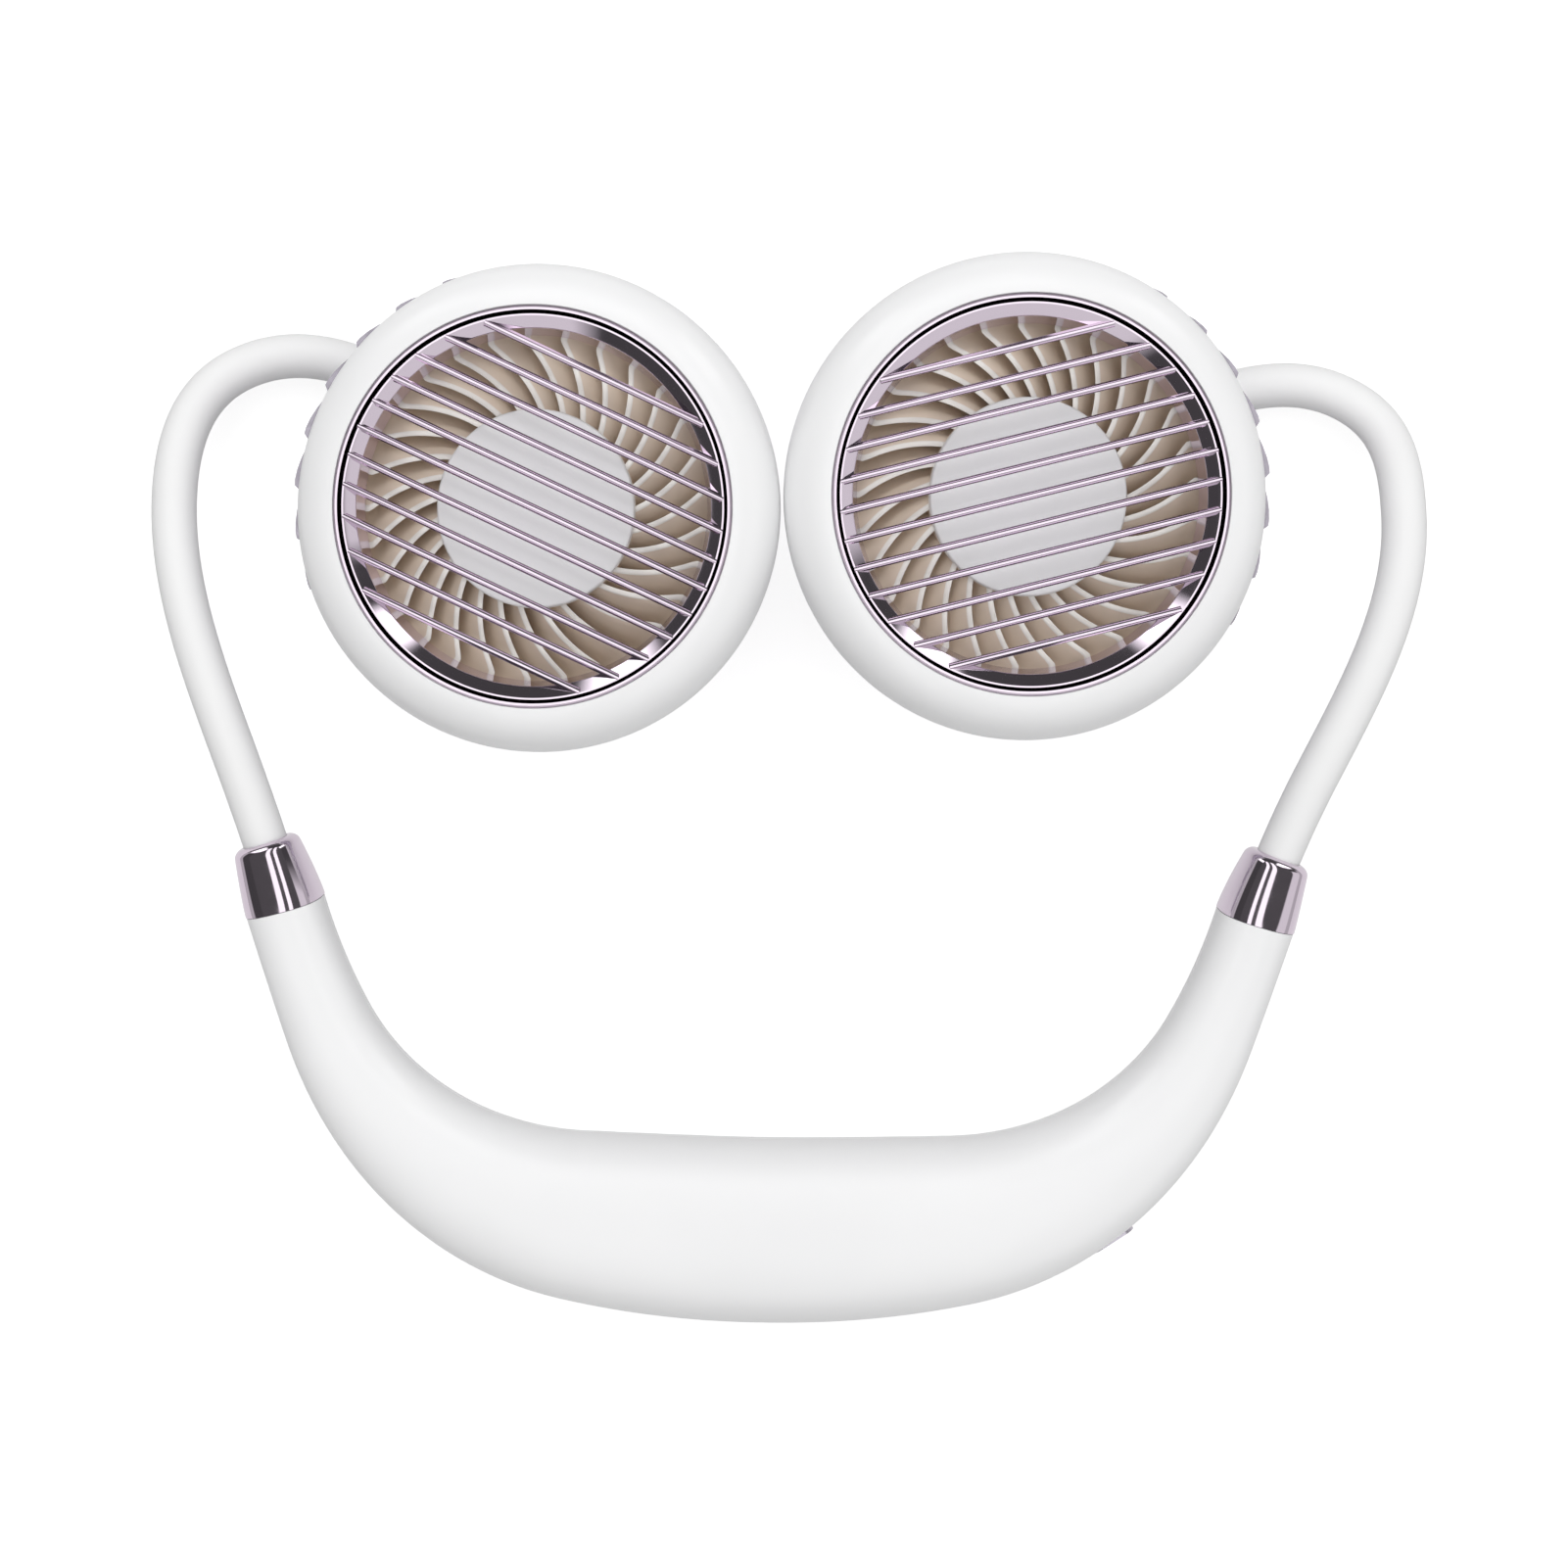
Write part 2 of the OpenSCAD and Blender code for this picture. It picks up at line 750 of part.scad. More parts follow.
module place_head(side) {
    translate([head_x(side), head_y(side), head_z()])
        rotate([lean_down, side * lean_out, 0])
            translate([0, 0, -widest_z]) children();
}
function bars_angle(side) = side < 0 ? bars_left : bars_right;

// Outline of the head's side below its widest height, for a radius there and a floor height
module lower_profile(r, floor_h) {
    polygon([
        [0, floor_h], [r - heel_in, floor_h], [r - waist_in, boss_h + bezel_round / 2],
        [r, widest_z], [0, widest_z]
    ]);
}

// The bezel adds a rounded front above it
module bezel_profile(inset) {
    lower_profile(head_r - inset, boss_h + inset);
    intersection() {
        union() {
            translate([head_r - bezel_round, widest_z]) circle(r = bezel_round - inset);
            square([head_r - bezel_round, head_h - inset]);
        }
        translate([0, widest_z - overrun]) square([head_d, head_h]);
    }
}

// The rear cover runs straight up to the joint
module cover_profile(inset) {
    lower_profile(cover_r - inset, boss_h + inset);
    translate([0, widest_z - overrun]) square([cover_r - inset, bezel_round]);
}

// Everything on the front side of the slanting joint between bezel and rear cover
module front_side(side, shift) {
    rotate(bars_angle(side))
        translate([0, 0, part_z + shift])
            rotate([0, -side * atan(part_slope_share), 0])
                translate([-head_d, -head_d, 0]) cube([2 * head_d, 2 * head_d, head_d]);
}

module bezel(side) {
    color("white") place_head(side) {
        intersection() {
            difference() {
                rotate_extrude() bezel_profile(0);
                rotate_extrude() bezel_profile(head_wall);
                cylinder(r = land + gap, h = head_h + overrun);
                translate([0, 0, head_h - lip_h - fit]) cylinder(r = ring_r + fit, h = head_h);
            }
            front_side(side, seam / 2);
        }
        intersection() {
            at_head_screws()
                translate([0, 0, frame_z + gap])
                    difference() {
                        cylinder(r = post_r, h = head_h);
                        translate([0, 0, -overrun]) cylinder(r = screw_r + fit, h = head_screw_len);
                    }
            rotate_extrude() bezel_profile(head_wall / 2);
        }
    }
}

// Scalloped outline of the rear cover: each ridge rises slowly and ends in a step
function ridge_point(i, k) =
    let (a = ridge_phase - (i + ridge_turn_shares[k]) * 360 / ridge_count)
    (cover_r - ridge_depth * (1 - ridge_rise_shares[k])) * [cos(a), sin(a)];
module ridged_round(side) {
    mirror([side < 0 ? 1 : 0, 0])
        polygon([
            for (i = [0 : ridge_count - 1])
                for (k = [0 : len(ridge_turn_shares) - 1]) ridge_point(i, k)
        ]);
}

module rear_cover(side) {
    color("thistle") difference() {
        place_head(side) difference() {
            union() {
                difference() {
                    intersection() {
                        rotate_extrude() cover_profile(0);
                        linear_extrude(head_h) ridged_round(side);
                    }
                    rotate_extrude() cover_profile(head_wall + ridge_depth);
                    front_side(side, -seam / 2);
                }
                cylinder(r = boss_r, h = boss_h + overrun);
                translate([0, 0, boss_h + overrun / 2])
                    difference() {
                        cylinder(r = duct_r + duct_t + seat_in, h = frame_z - boss_h - overrun / 2);
                        translate([0, 0, -overrun])
                            cylinder(r = duct_r - seat_in, h = frame_z);
                    }
                at_head_screws()
                    translate([0, 0, boss_h + overrun / 2])
                        cylinder(r = post_r, h = frame_z - gap - boss_h - overrun / 2);
            }
            for (i = [0 : vent_count - 1])
                rotate(360 * i / vent_count)
                    translate([hub_r, -vent_w / 2, boss_h - overrun])
                        cube([vent_out - hub_r, vent_w, head_wall + 2 * overrun]);
            at_head_screws() {
                cylinder(r = screw_r + 2 * fit, h = head_h);
                translate([0, 0, boss_h - overrun])
                    cylinder(r = screw_head_r + gap, h = screw_head_h * 0.8 + overrun);
            }
        }
        translate(tail_end(side) + gap * tail_way(side))
            rotate([0, 90, atan2(-tail_way(side).y, -tail_way(side).x)])
                cylinder(r = sleeve_r + fit, h = tail_len);
    }
}

module at_head_screws() {
    for (i = [0 : head_screws - 1])
        rotate(90 + 360 * i / head_screws) translate([head_screw_r, 0, 0]) children();
}

module head_screws_of(side) {
    color("silver") place_head(side) at_head_screws()
        translate([0, 0, boss_h + screw_head_h * 0.1]) {
            cylinder(r = screw_head_r, h = screw_head_h * 0.7);
            cylinder(r = screw_r, h = head_screw_len);
        }
}

// Duct, five struts and the plate that carries the motor, in one piece
module fan_frame(side) {
    color("linen") place_head(side) {
        translate([0, 0, frame_z]) {
            difference() {
                cylinder(r = duct_r + duct_t, h = frame_top - frame_z);
                translate([0, 0, -overrun]) cylinder(r = duct_r, h = head_h);
            }
            translate([0, 0, plate_lift])
                linear_extrude(plate_t) difference() {
                    union() {
                        circle(r = motor_r);
                        intersection() {
                            circle(r = duct_r + duct_t / 2);
                            for (i = [0 : strut_count - 1])
                                rotate(360 * (i + 1 / 2) / strut_count)
                                    translate([motor_r - strut_w / 2, -strut_w / 2]) square([duct_r, strut_w]);
                        }
                    }
                    circle(r = 2 * shaft_r);
                }
        }
    }
}

module motor(side) {
    color("gray") place_head(side) translate([0, 0, motor_bottom])
        difference() {
            cylinder(r = motor_r, h = motor_top - motor_bottom);
            translate([0, 0, -overrun]) cylinder(r = shaft_r + fit, h = head_h);
        }
}

module shaft(side) {
    color("silver") place_head(side) translate([0, 0, motor_bottom])
        cylinder(r = shaft_r, h = hub_top - motor_bottom);
}

// One blade between its root and its tip, leaning back as it goes down
function blade_angle(r) =
    let (far = hub_r + (fan_r - hub_r) * straight_share)
    blade_sweep * (min(r, far) - hub_r) / (far - hub_r);
function blade_corner(r, z, lean, half) =
    let (a = blade_angle(r) + lean + half * blade_t / 2 / r * 180 / PI)
    [r * cos(a), r * sin(a), z];
module blade() {
    root = hub_r - hub_t / 2;
    skin([
        for (i = [0 : blade_stations - 1])
            let (
                u = i / (blade_stations - 1),
                r = root + (fan_r - root) * u,
                top = blade_top_root + (blade_top_tip - blade_top_root) * u
            )
            [
                blade_corner(r, top, 0, 1), blade_corner(r, top, 0, -1),
                blade_corner(r, blade_bottom, -blade_lean, -1), blade_corner(r, blade_bottom, -blade_lean, 1)
            ]
    ]);
}

module rotor(side) {
    color("antiquewhite") place_head(side) difference() {
        union() {
            difference() {
                translate([0, 0, hub_bottom]) cylinder(r = hub_r, h = hub_top - hub_bottom);
                translate([0, 0, hub_bottom - overrun])
                    cylinder(r = hub_r - hub_t, h = hub_top - hub_t - hub_bottom + overrun);
            }
            for (i = [0 : blade_count - 1]) rotate(360 * i / blade_count) blade();
        }
        translate([0, 0, hub_bottom]) cylinder(r = shaft_r + fit / 2, h = head_h);
    }
}

cap_chamfer = 0.5;
module hub_cap(side) {
    color("whitesmoke") place_head(side)
        rotate_extrude() translate([0, hub_top]) polygon([
            [0, 0], [hub_r - fit, 0], [hub_r - fit, cap_t - cap_chamfer],
            [hub_r - cap_chamfer, cap_t], [0, cap_t]
        ]);
}

// Plated grille: a rolled lip, a conical wall and straight bars across the opening
module grille(side) {
    cone_top = head_h - lip_h;
    color("plum") place_head(side) {
        rotate_extrude() {
            polygon([
                [mouth_r + collar_lean, cone_top - cone_drop], [mouth_r, head_h - cone_h],
                [land, head_h - cone_h], [land, cone_top], [land - lip_t / 3, cone_top]
            ]);
            translate([land - lip_t / 3, cone_top]) square([4 * lip_t / 3, lip_h]);
            translate([ring_r - lip_t / 2, head_h]) circle(d = lip_t, $fn = 24);
        }
        rotate(bars_angle(side))
            intersection() {
                translate([0, 0, head_h - bar_drop - bar_h]) cylinder(r = land - lip_t / 4, h = 2 * bar_h);
                for (i = [0 : bar_count - 1])
                    translate([-head_r, (i - (bar_count - 1) / 2) * bar_pitch, head_h - bar_drop - bar_h])
                        rotate([90, 0, 90]) linear_extrude(head_d) {
                            translate([-bar_w / 2, 0]) square([bar_w, bar_h - bar_w / 2]);
                            translate([0, bar_h - bar_w / 2]) circle(d = bar_w, $fn = 24);
                        }
            }
    }
}

band_top_shell();
band_bottom_shell();
battery_cell();
control_board();
charging_port();
power_switch();
power_button();
indicator_lens();
band_screws();
ferrule(left);  // arm_left_ferrule
anchor(left);  // arm_left_anchor
sleeve_root(left);  // arm_left_sleeve_root
sleeve_lower(left);  // arm_left_sleeve_lower
sleeve_upper(left);  // arm_left_sleeve_upper
sleeve_tip(left);  // arm_left_sleeve_tip
spine_root(left);  // arm_left_spine_root
spine_lower(left);  // arm_left_spine_lower
spine_upper(left);  // arm_left_spine_upper
spine_tip(left);  // arm_left_spine_tip
ferrule(right);  // arm_right_ferrule
anchor(right);  // arm_right_anchor
sleeve_root(right);  // arm_right_sleeve_root
sleeve_lower(right);  // arm_right_sleeve_lower
sleeve_upper(right);  // arm_right_sleeve_upper
sleeve_tip(right);  // arm_right_sleeve_tip
spine_root(right);  // arm_right_spine_root
spine_lower(right);  // arm_right_spine_lower
spine_upper(right);  // arm_right_spine_upper
spine_tip(right);  // arm_right_spine_tip
bezel(left);  // head_left_bezel
grille(left);  // head_left_grille
rear_cover(left);  // head_left_rear_cover
fan_frame(left);  // head_left_fan_frame
motor(left);  // head_left_motor
rotor(left);  // head_left_rotor
hub_cap(left);  // head_left_hub_cap
shaft(left);  // head_left_shaft
head_screws_of(left);  // head_left_screws
bezel(right);  // head_right_bezel
grille(right);  // head_right_grille
rear_cover(right);  // head_right_rear_cover
fan_frame(right);  // head_right_fan_frame
motor(right);  // head_right_motor
rotor(right);  // head_right_rotor
hub_cap(right);  // head_right_hub_cap
shaft(right);  // head_right_shaft
head_screws_of(right);  // head_right_screws
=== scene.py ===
"""Looks of the neck fan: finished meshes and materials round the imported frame, and its stage."""

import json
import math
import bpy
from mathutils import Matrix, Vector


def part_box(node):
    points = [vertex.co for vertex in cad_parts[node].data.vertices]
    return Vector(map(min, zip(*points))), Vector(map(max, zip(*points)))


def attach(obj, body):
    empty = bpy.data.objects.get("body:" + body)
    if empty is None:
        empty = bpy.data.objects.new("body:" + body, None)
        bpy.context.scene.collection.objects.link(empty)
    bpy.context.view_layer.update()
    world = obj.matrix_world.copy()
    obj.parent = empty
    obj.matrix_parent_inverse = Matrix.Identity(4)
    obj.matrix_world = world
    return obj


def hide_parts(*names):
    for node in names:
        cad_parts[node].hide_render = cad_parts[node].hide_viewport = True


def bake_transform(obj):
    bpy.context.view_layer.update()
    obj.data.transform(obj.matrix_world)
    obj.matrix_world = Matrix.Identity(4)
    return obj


bl_info = {
    "name": "Neck fan",
    "version": (1, 0, 0),
    "blender": (4, 5, 0),
    "location": "3D View > Sidebar > Neck Fan",
    "description": "Builds the neck fan's finished pieces, materials and stage round its frame",
    "category": "Add Mesh",
}

import bmesh
import bpy
import numpy as np
from mathutils import Matrix, Vector

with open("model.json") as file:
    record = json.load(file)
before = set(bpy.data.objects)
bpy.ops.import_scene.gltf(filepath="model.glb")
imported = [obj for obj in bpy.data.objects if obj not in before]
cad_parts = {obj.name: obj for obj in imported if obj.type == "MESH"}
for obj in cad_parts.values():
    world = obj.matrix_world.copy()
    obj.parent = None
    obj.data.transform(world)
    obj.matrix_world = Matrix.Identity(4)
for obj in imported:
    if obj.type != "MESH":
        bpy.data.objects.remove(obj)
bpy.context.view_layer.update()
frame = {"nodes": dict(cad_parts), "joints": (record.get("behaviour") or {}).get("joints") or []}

MM = 0.001
SIDES = {"left": -1, "right": 1}
UP = Vector((0, 0, 1))


# Sizes and colours that a user would change


def number(name, description, default, kind=bpy.props.FloatProperty, **more):
    return kind(name=name, description=description, default=default, **more)


def length(name, description, default):
    """A length, with its default in mm."""
    return number(name, description, default * MM, unit="LENGTH", precision=5)


def angle(name, description, default):
    """An angle, with its default in degrees."""
    return number(name, description, math.radians(default), unit="ROTATION")


def share(name, description, default):
    return number(name, description, default, subtype="FACTOR")


def count(name, description, default):
    return number(name, description, default, bpy.props.IntProperty, min=1)


def colour(name, description, default):
    more = {"size": 3, "subtype": "COLOR", "min": 0, "max": 1}
    return number(name, description, default, bpy.props.FloatVectorProperty, **more)


class NeckbandSizes(bpy.types.PropertyGroup):
    width: length("Width", "Width at the middle, from above", 30.8)
    height: length("Height", "Height at the middle", 25)
    end_width: length("End width", "Width at the ferrules", 13.2)
    end_height: length("End height", "Height at the ferrules", 13.4)
    wall: length("Wall", "Wall of the two shells", 1.8)
    nape_radius: length("Nape radius", "Radius of the curve behind the neck", 254)
    nape_turn: angle("Nape turn", "Half angle of that curve", 7.2)
    side_radius: length("Side radius", "Radius of the curve beside the neck", 54)
    side_turn: angle("Side turn", "Angle of the side curve", 59.1)
    end_radius: length("End radius", "Radius of the last stretch", 157.5)
    end_turn: angle("End turn", "Angle of the last stretch", 7.8)
    rise: length("Rise", "How far the ends rise above the middle", 3.6)
    turn: angle("Turn", "Turn of the band on the table", -0.85)
    middle_x: length("Middle X", "Place of the middle across", -4)
    middle_y: length("Middle Y", "Place of the middle along", -73.5)
    seam: length("Seam", "Gap between the two shells", 0.2)
    seam_round: length("Seam rounding", "Radius along the edges of the seam", 0.3)
    foot_flat: length("Foot flat", "How much of the belly is cut flat", 0.35)
    fade_power: number("Fade power", "How late the band narrows", 2.33)
    fade_bulge: number("Fade bulge", "How softly it runs out to its ends", 2.5)
    rise_power: number("Rise power", "How late the band rises", 5)
    section_power: number("Section power", "Squareness, 2 is an ellipse", 2.6)


class ArmSizes(bpy.types.PropertyGroup):
    sleeve: length("Sleeve diameter", "Outer diameter of the soft sleeve", 7.5)
    sleeve_wall: length("Sleeve wall", "Wall of the sleeve", 1.25)
    sleeve_start: length("Sleeve start", "How far inside the ferrule the sleeve starts", 3)
    ferrule: length("Ferrule length", "Length of the plated ferrule", 11.4)
    ferrule_mouth: length("Ferrule mouth", "Width just before its rounded mouth", 10.5)
    ferrule_round: length("Ferrule rounding", "Radius of the ferrule's mouth", 1.4)
    ferrule_taper: number("Ferrule taper", "How late the ferrule narrows", 1.35)
    ferrule_roll: angle("Ferrule roll", "How far its section rolls inward", 6.5)
    tail: length("Tail", "Straight end of the arm in the head's socket", 16.5)
    bend: length("Bend", "Half length of each bend", 9)
    lean_left: angle("Left lean", "Heading where the left arm swings", 70.5)
    lean_right: angle("Right lean", "Heading where the right arm swings", 63)
    turn_left: angle("Left turn", "Heading where the left arm turns in", 152)
    turn_right: angle("Right turn", "Heading where the right arm turns in", 144)
    tail_left: angle("Left tail", "Heading of the left arm's tail", 221)
    tail_right: angle("Right tail", "Heading of the right arm's tail", 209)
    swing_slope: number("Swing slope", "Climb where an arm swings", 0.06)
    lift_slope: number("Lift slope", "Climb where an arm lifts", -0.2)
    turn_slope: number("Turn slope", "Climb where an arm turns in", -0.12)


class HeadSizes(bpy.types.PropertyGroup):
    diameter: length("Diameter", "Outer diameter of a head", 79.6)
    depth: length("Depth", "Depth from rear boss to front", 35)
    bezel_round: length("Bezel rounding", "Radius of the bezel's front", 7.7)
    wall: length("Wall", "Wall of the bezel", 1.8)
    waist_in: length("Waist", "How far the bezel draws in at its waist", 1.5)
    heel_in: length("Heel", "How far it draws in at its heel", 3.2)
    heel_height: length("Heel height", "Height of the heel over the boss", 9.375)
    ring: length("Ring diameter", "Outer diameter of the plated ring", 64.6)
    mouth: length("Mouth diameter", "Diameter of the air opening", 56)
    lip: length("Lip", "Width of the lip and its groove", 1.3)
    cone: length("Cone", "Depth of the wall inside the ring", 5.2)
    cone_drop: length("Cone drop", "Depth of the shallow cone", 1.1)
    ledge: length("Ledge", "Width of the flat ledge above the cone", 0.28)
    seat: length("Ring seat", "Width of the bezel's ledge for the ring", 0.35)
    collar_lean: length("Collar lean", "How far the wall closes in below the cone", 0.8)
    lip_slope: angle("Lip slope", "Slope of the lip's outer half", 42)
    groove: length("Groove", "Width of the groove by the lip", 0.6)
    groove_depth: length("Groove depth", "Depth of that groove", 2.2)
    bar_flank: share("Bar flank", "Share of a bar's half width that slopes", 0.78)
    bar_slope: angle("Bar slope", "Slope of a bar's flanks", 38)
    lean_out: angle("Lean out", "How far the heads lean outward", 2.5)
    lean_down: angle("Lean down", "How far the heads lean toward the band", 3.5)
    bars_left: angle("Left bars", "Angle of the bars on the left head", -25.3)
    bars_right: angle("Right bars", "Angle of the bars on the right head", 14)
    bar_count: count("Bars", "Number of bars", 11)
    bar_width: length("Bar width", "Width of a bar", 1.3)
    bar_height: length("Bar height", "Height of a bar", 1.6)
    bar_pitch: length("Bar pitch", "Spacing of the bars", 4.746)
    bar_drop: length("Bar drop", "How far the bars lie below the front", 0.5)
    part_slope: share("Joint slope", "Slope of the joint of bezel and cover", 0.1385)
    part_front: length("Joint front", "How far that joint climbs past the widest height", 3.7)
    seam: length("Seam", "Gap between bezel and rear cover", 0.2)
    blades: count("Blades", "Number of fan blades", 29)
    blade: length("Blade thickness", "Thickness of a blade", 0.9)
    blade_crown: share("Blade crown", "Rounding, 1 is a half circle", 0.25)
    fan: length("Fan diameter", "Diameter over the blades", 58.4)
    fan_low: length("Fan underside", "Height of the rotor's underside", 17.735)
    blade_low: length("Blade underside", "Height of the underside of the blades", 18.535)
    blade_root: length("Blade root", "Height of front edges at the hub", 29.3)
    blade_tip: length("Blade tip", "Height of front edges at the tips", 29.25)
    hub_top: length("Hub top", "Height of the rotor's flat front", 29.7)
    cap: length("Cap", "Thickness of the hub cap", 1)
    hub: length("Hub diameter", "Diameter of the fan's hub", 32.4)
    hub_wall: length("Hub wall", "Wall of the cupped hub", 1.6)
    hub_round: length("Hub rounding", "Radius of the hub's front edge", 0.4)
    bore: length("Bore", "Radius of the hub's bore for the shaft", 1.05)
    blade_sweep: angle("Blade sweep", "How far a blade sweeps round", 18.5)
    blade_lean: angle("Blade lean", "How far a blade leans back", 26)
    straight: share("Straight share", "Share of a blade's reach that sweeps", 0.86)


class FinishColours(bpy.types.PropertyGroup):
    """Colours, named like their slots; a slot's material has its colour's name"""

    shell_white: colour("Satin white", "The band and the bezels", (0.88, 0.88, 0.885))
    sleeve_white: colour("Sleeve white", "Soft white of the arms", (0.86, 0.86, 0.86))
    chrome_lilac: colour("Lilac chrome", "Plating of the ferrules and grilles", (0.72, 0.63, 0.72))
    cover_lilac: colour("Lilac cover", "Pearl of the scalloped rear covers", (0.62, 0.58, 0.66))
    blade_cream: colour("Blade cream", "Edges of the blades", (0.98, 0.95, 0.9))
    # Painted shade: this warmer, deeper colour of the blades' faces stands for the shade deep in
    # the duct between them
    blade_face: colour("Blade face", "Faces of the blades", (0.86, 0.74, 0.62))
    hub_white: colour("Hub white", "Disc in the middle of a fan", (0.91, 0.915, 0.92))
    frame_cream: colour("Frame cream", "Duct and struts behind the blades", (0.94, 0.86, 0.76))
    motor_can: colour("Motor can", "Drawn steel of the motors", (0.5, 0.5, 0.52))
    steel: colour("Steel", "Spines, screws, shafts and port", (0.62, 0.62, 0.64))
    cell_wrap: colour("Cell wrap", "Shrink wrap of the battery", (0.06, 0.16, 0.42))
    board_green: colour("Board green", "Solder mask of the control board", (0.03, 0.16, 0.07))
    switch_dark: colour("Switch dark", "Body of the push switch", (0.03, 0.03, 0.035))
    lens_clear: colour("Lens clear", "Clear indicator lens", (0.82, 0.86, 0.8))


def band_sizes():
    return bpy.context.scene.neck_fan_band


def arm_sizes():
    return bpy.context.scene.neck_fan_arms


def head_sizes():
    return bpy.context.scene.neck_fan_heads


def colours():
    return bpy.context.scene.neck_fan_colours


# Meshes

# Angles in degrees above which edges stay sharp: most pieces, grilles, rotors, and pieces of the
# frame, where the crests of the rear covers need a small one
SHARP, GRILLE_SHARP, ROTOR_SHARP, COVER_SHARP, FRAME_SHARP = 35, 20, 40, 10, 30


def piece(name, points, faces, place=None):
    """A new object from points in metres, with its faces turned outward."""
    mesh = bpy.data.meshes.new(name)
    mesh.from_pydata([tuple(p) for p in points], [], faces)
    shape = bmesh.new()
    shape.from_mesh(mesh)
    bmesh.ops.remove_doubles(shape, verts=shape.verts, dist=MM * 1e-4)
    bmesh.ops.recalc_face_normals(shape, faces=shape.faces)
    shape.to_mesh(mesh)
    shape.free()
    obj = bpy.data.objects.new(name, mesh)
    bpy.context.scene.collection.objects.link(obj)
    if place is not None:
        obj.matrix_world = place
    return obj


def net(rows, columns, along=False):
    """Quads between closed rows of points; along also joins the last row to the first."""
    faces = []
    for i in range(rows if along else rows - 1):
        for j in range(columns):
            a, b = i * columns, (i + 1) % rows * columns
            k = (j + 1) % columns
            faces.append((a + j, a + k, b + k, b + j))
    return faces


def skin(rings):
    """Points and faces of a solid over rings, with its two ends closed."""
    n = len(rings[0])
    points = [p for r in rings for p in r]
    ends = [tuple(range(n - 1, -1, -1)), tuple(range(len(points) - n, len(points)))]
    return points, net(len(rings), n) + ends


def closed(rings):
    """Points and faces of a solid over rings, of which the last joins the first."""
    return [p for r in rings for p in r], net(len(rings), len(rings[0]), along=True)


def round_angles(steps):
    return [math.tau * i / steps for i in range(steps)]


def turned(profile, steps):
    """Points and faces of a closed profile of (radius, height) turned round Z."""
    rings = [
        [(r * math.cos(a), r * math.sin(a), z) for r, z in profile] for a in round_angles(steps)
    ]
    return closed(rings)


def joined(*parts):
    """Points and faces of several solids as one list of each."""
    points, faces = [], []
    for some_points, some_faces in parts:
        faces += [tuple(len(points) + i for i in f) for f in some_faces]
        points += list(some_points)
    return points, faces


def moved(part, matrix):
    points, faces = part
    return [matrix @ Vector(p) for p in points], faces


def arc(x, z, radius, start, end, steps):
    """Points of an arc of (x, z), with angles in degrees."""
    angles = [math.radians(start + (end - start) * i / steps) for i in range(steps + 1)]
    return [(x + radius * math.cos(a), z + radius * math.sin(a)) for a in angles]


def superellipse(width, height, power, angles):
    """Points of a rounded section, where a power of 1 is an ellipse and 0 a rectangle."""

    def reach(size, v):
        return size / 2 * math.copysign(abs(v) ** power, v)

    return [(reach(width, math.cos(a)), reach(height, math.sin(a))) for a in angles]


def even(line, steps):
    """The same line with evenly spaced points."""
    points = np.array(line)
    gaps = np.linalg.norm(np.diff(points, axis=0), axis=1)
    along = np.concatenate([[0], np.cumsum(gaps)])
    at = np.linspace(0, along[-1], steps + 1)
    xs, zs = (np.interp(at, along, points[:, i]) for i in (0, 1))
    return [(float(x), float(z)) for x, z in zip(xs, zs)]


def cut(obj, cutters):
    """Cuts the cutters out of a piece and drops them."""
    for tool in cutters:
        step = obj.modifiers.new("Cut", "BOOLEAN")
        step.operation = "DIFFERENCE"
        step.solver = "EXACT"
        step.object = tool
    bpy.context.view_layer.update()
    whole = obj.evaluated_get(bpy.context.evaluated_depsgraph_get())
    result = bpy.data.meshes.new_from_object(whole)
    obj.modifiers.clear()
    obj.data = result
    for tool in cutters:
        bpy.data.objects.remove(tool)


def dress(obj, slot, sharp):
    """Gives a piece its smooth shading and its slot's material."""
    obj.data.shade_smooth()
    obj.data.set_sharp_from_angle(angle=math.radians(sharp))
    obj.data.materials.clear()
    obj.data.materials.append(material_of(slot))


def finish(obj, body, nodes, slot, sharp=SHARP):
    """Dresses a piece with its slot's material, gives it its body, and hides the frame's nodes that
    it stands for.
    """
    dress(obj, slot, sharp)
    if body:
        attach(obj, body)
    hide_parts(*nodes)


# Neckband: its centre line and section

SHELL_STATIONS = 220
OUTER_STEPS, INNER_STEPS, EDGE_STEPS = 56, 28, 4

# Openings of the outer wall by node: width and height in mm, and depth in wall thicknesses
WALL_OPENINGS = {
    "charging_port": (9.3, 3.5, 5),
    "power_button": (8.3, 3.5, 5),
    "indicator_lens": (2.1, 2.099, 3.2),
}
# How far outside a node its cutter starts, in wall thicknesses
CUTTER_START = 3

# Recesses of the band's screws: their radius, their depth, and their end above a screw's head
RECESS_RADIUS, RECESS_DEPTH, RECESS_END = 2.05 * MM, 8 * MM, 1.2 * MM


def arc_step(heading, radius, turn):
    """How far an arc leads across and along, as an array."""
    end = heading + turn
    return radius * np.array([math.sin(end) - math.sin(heading), math.cos(heading) - math.cos(end)])


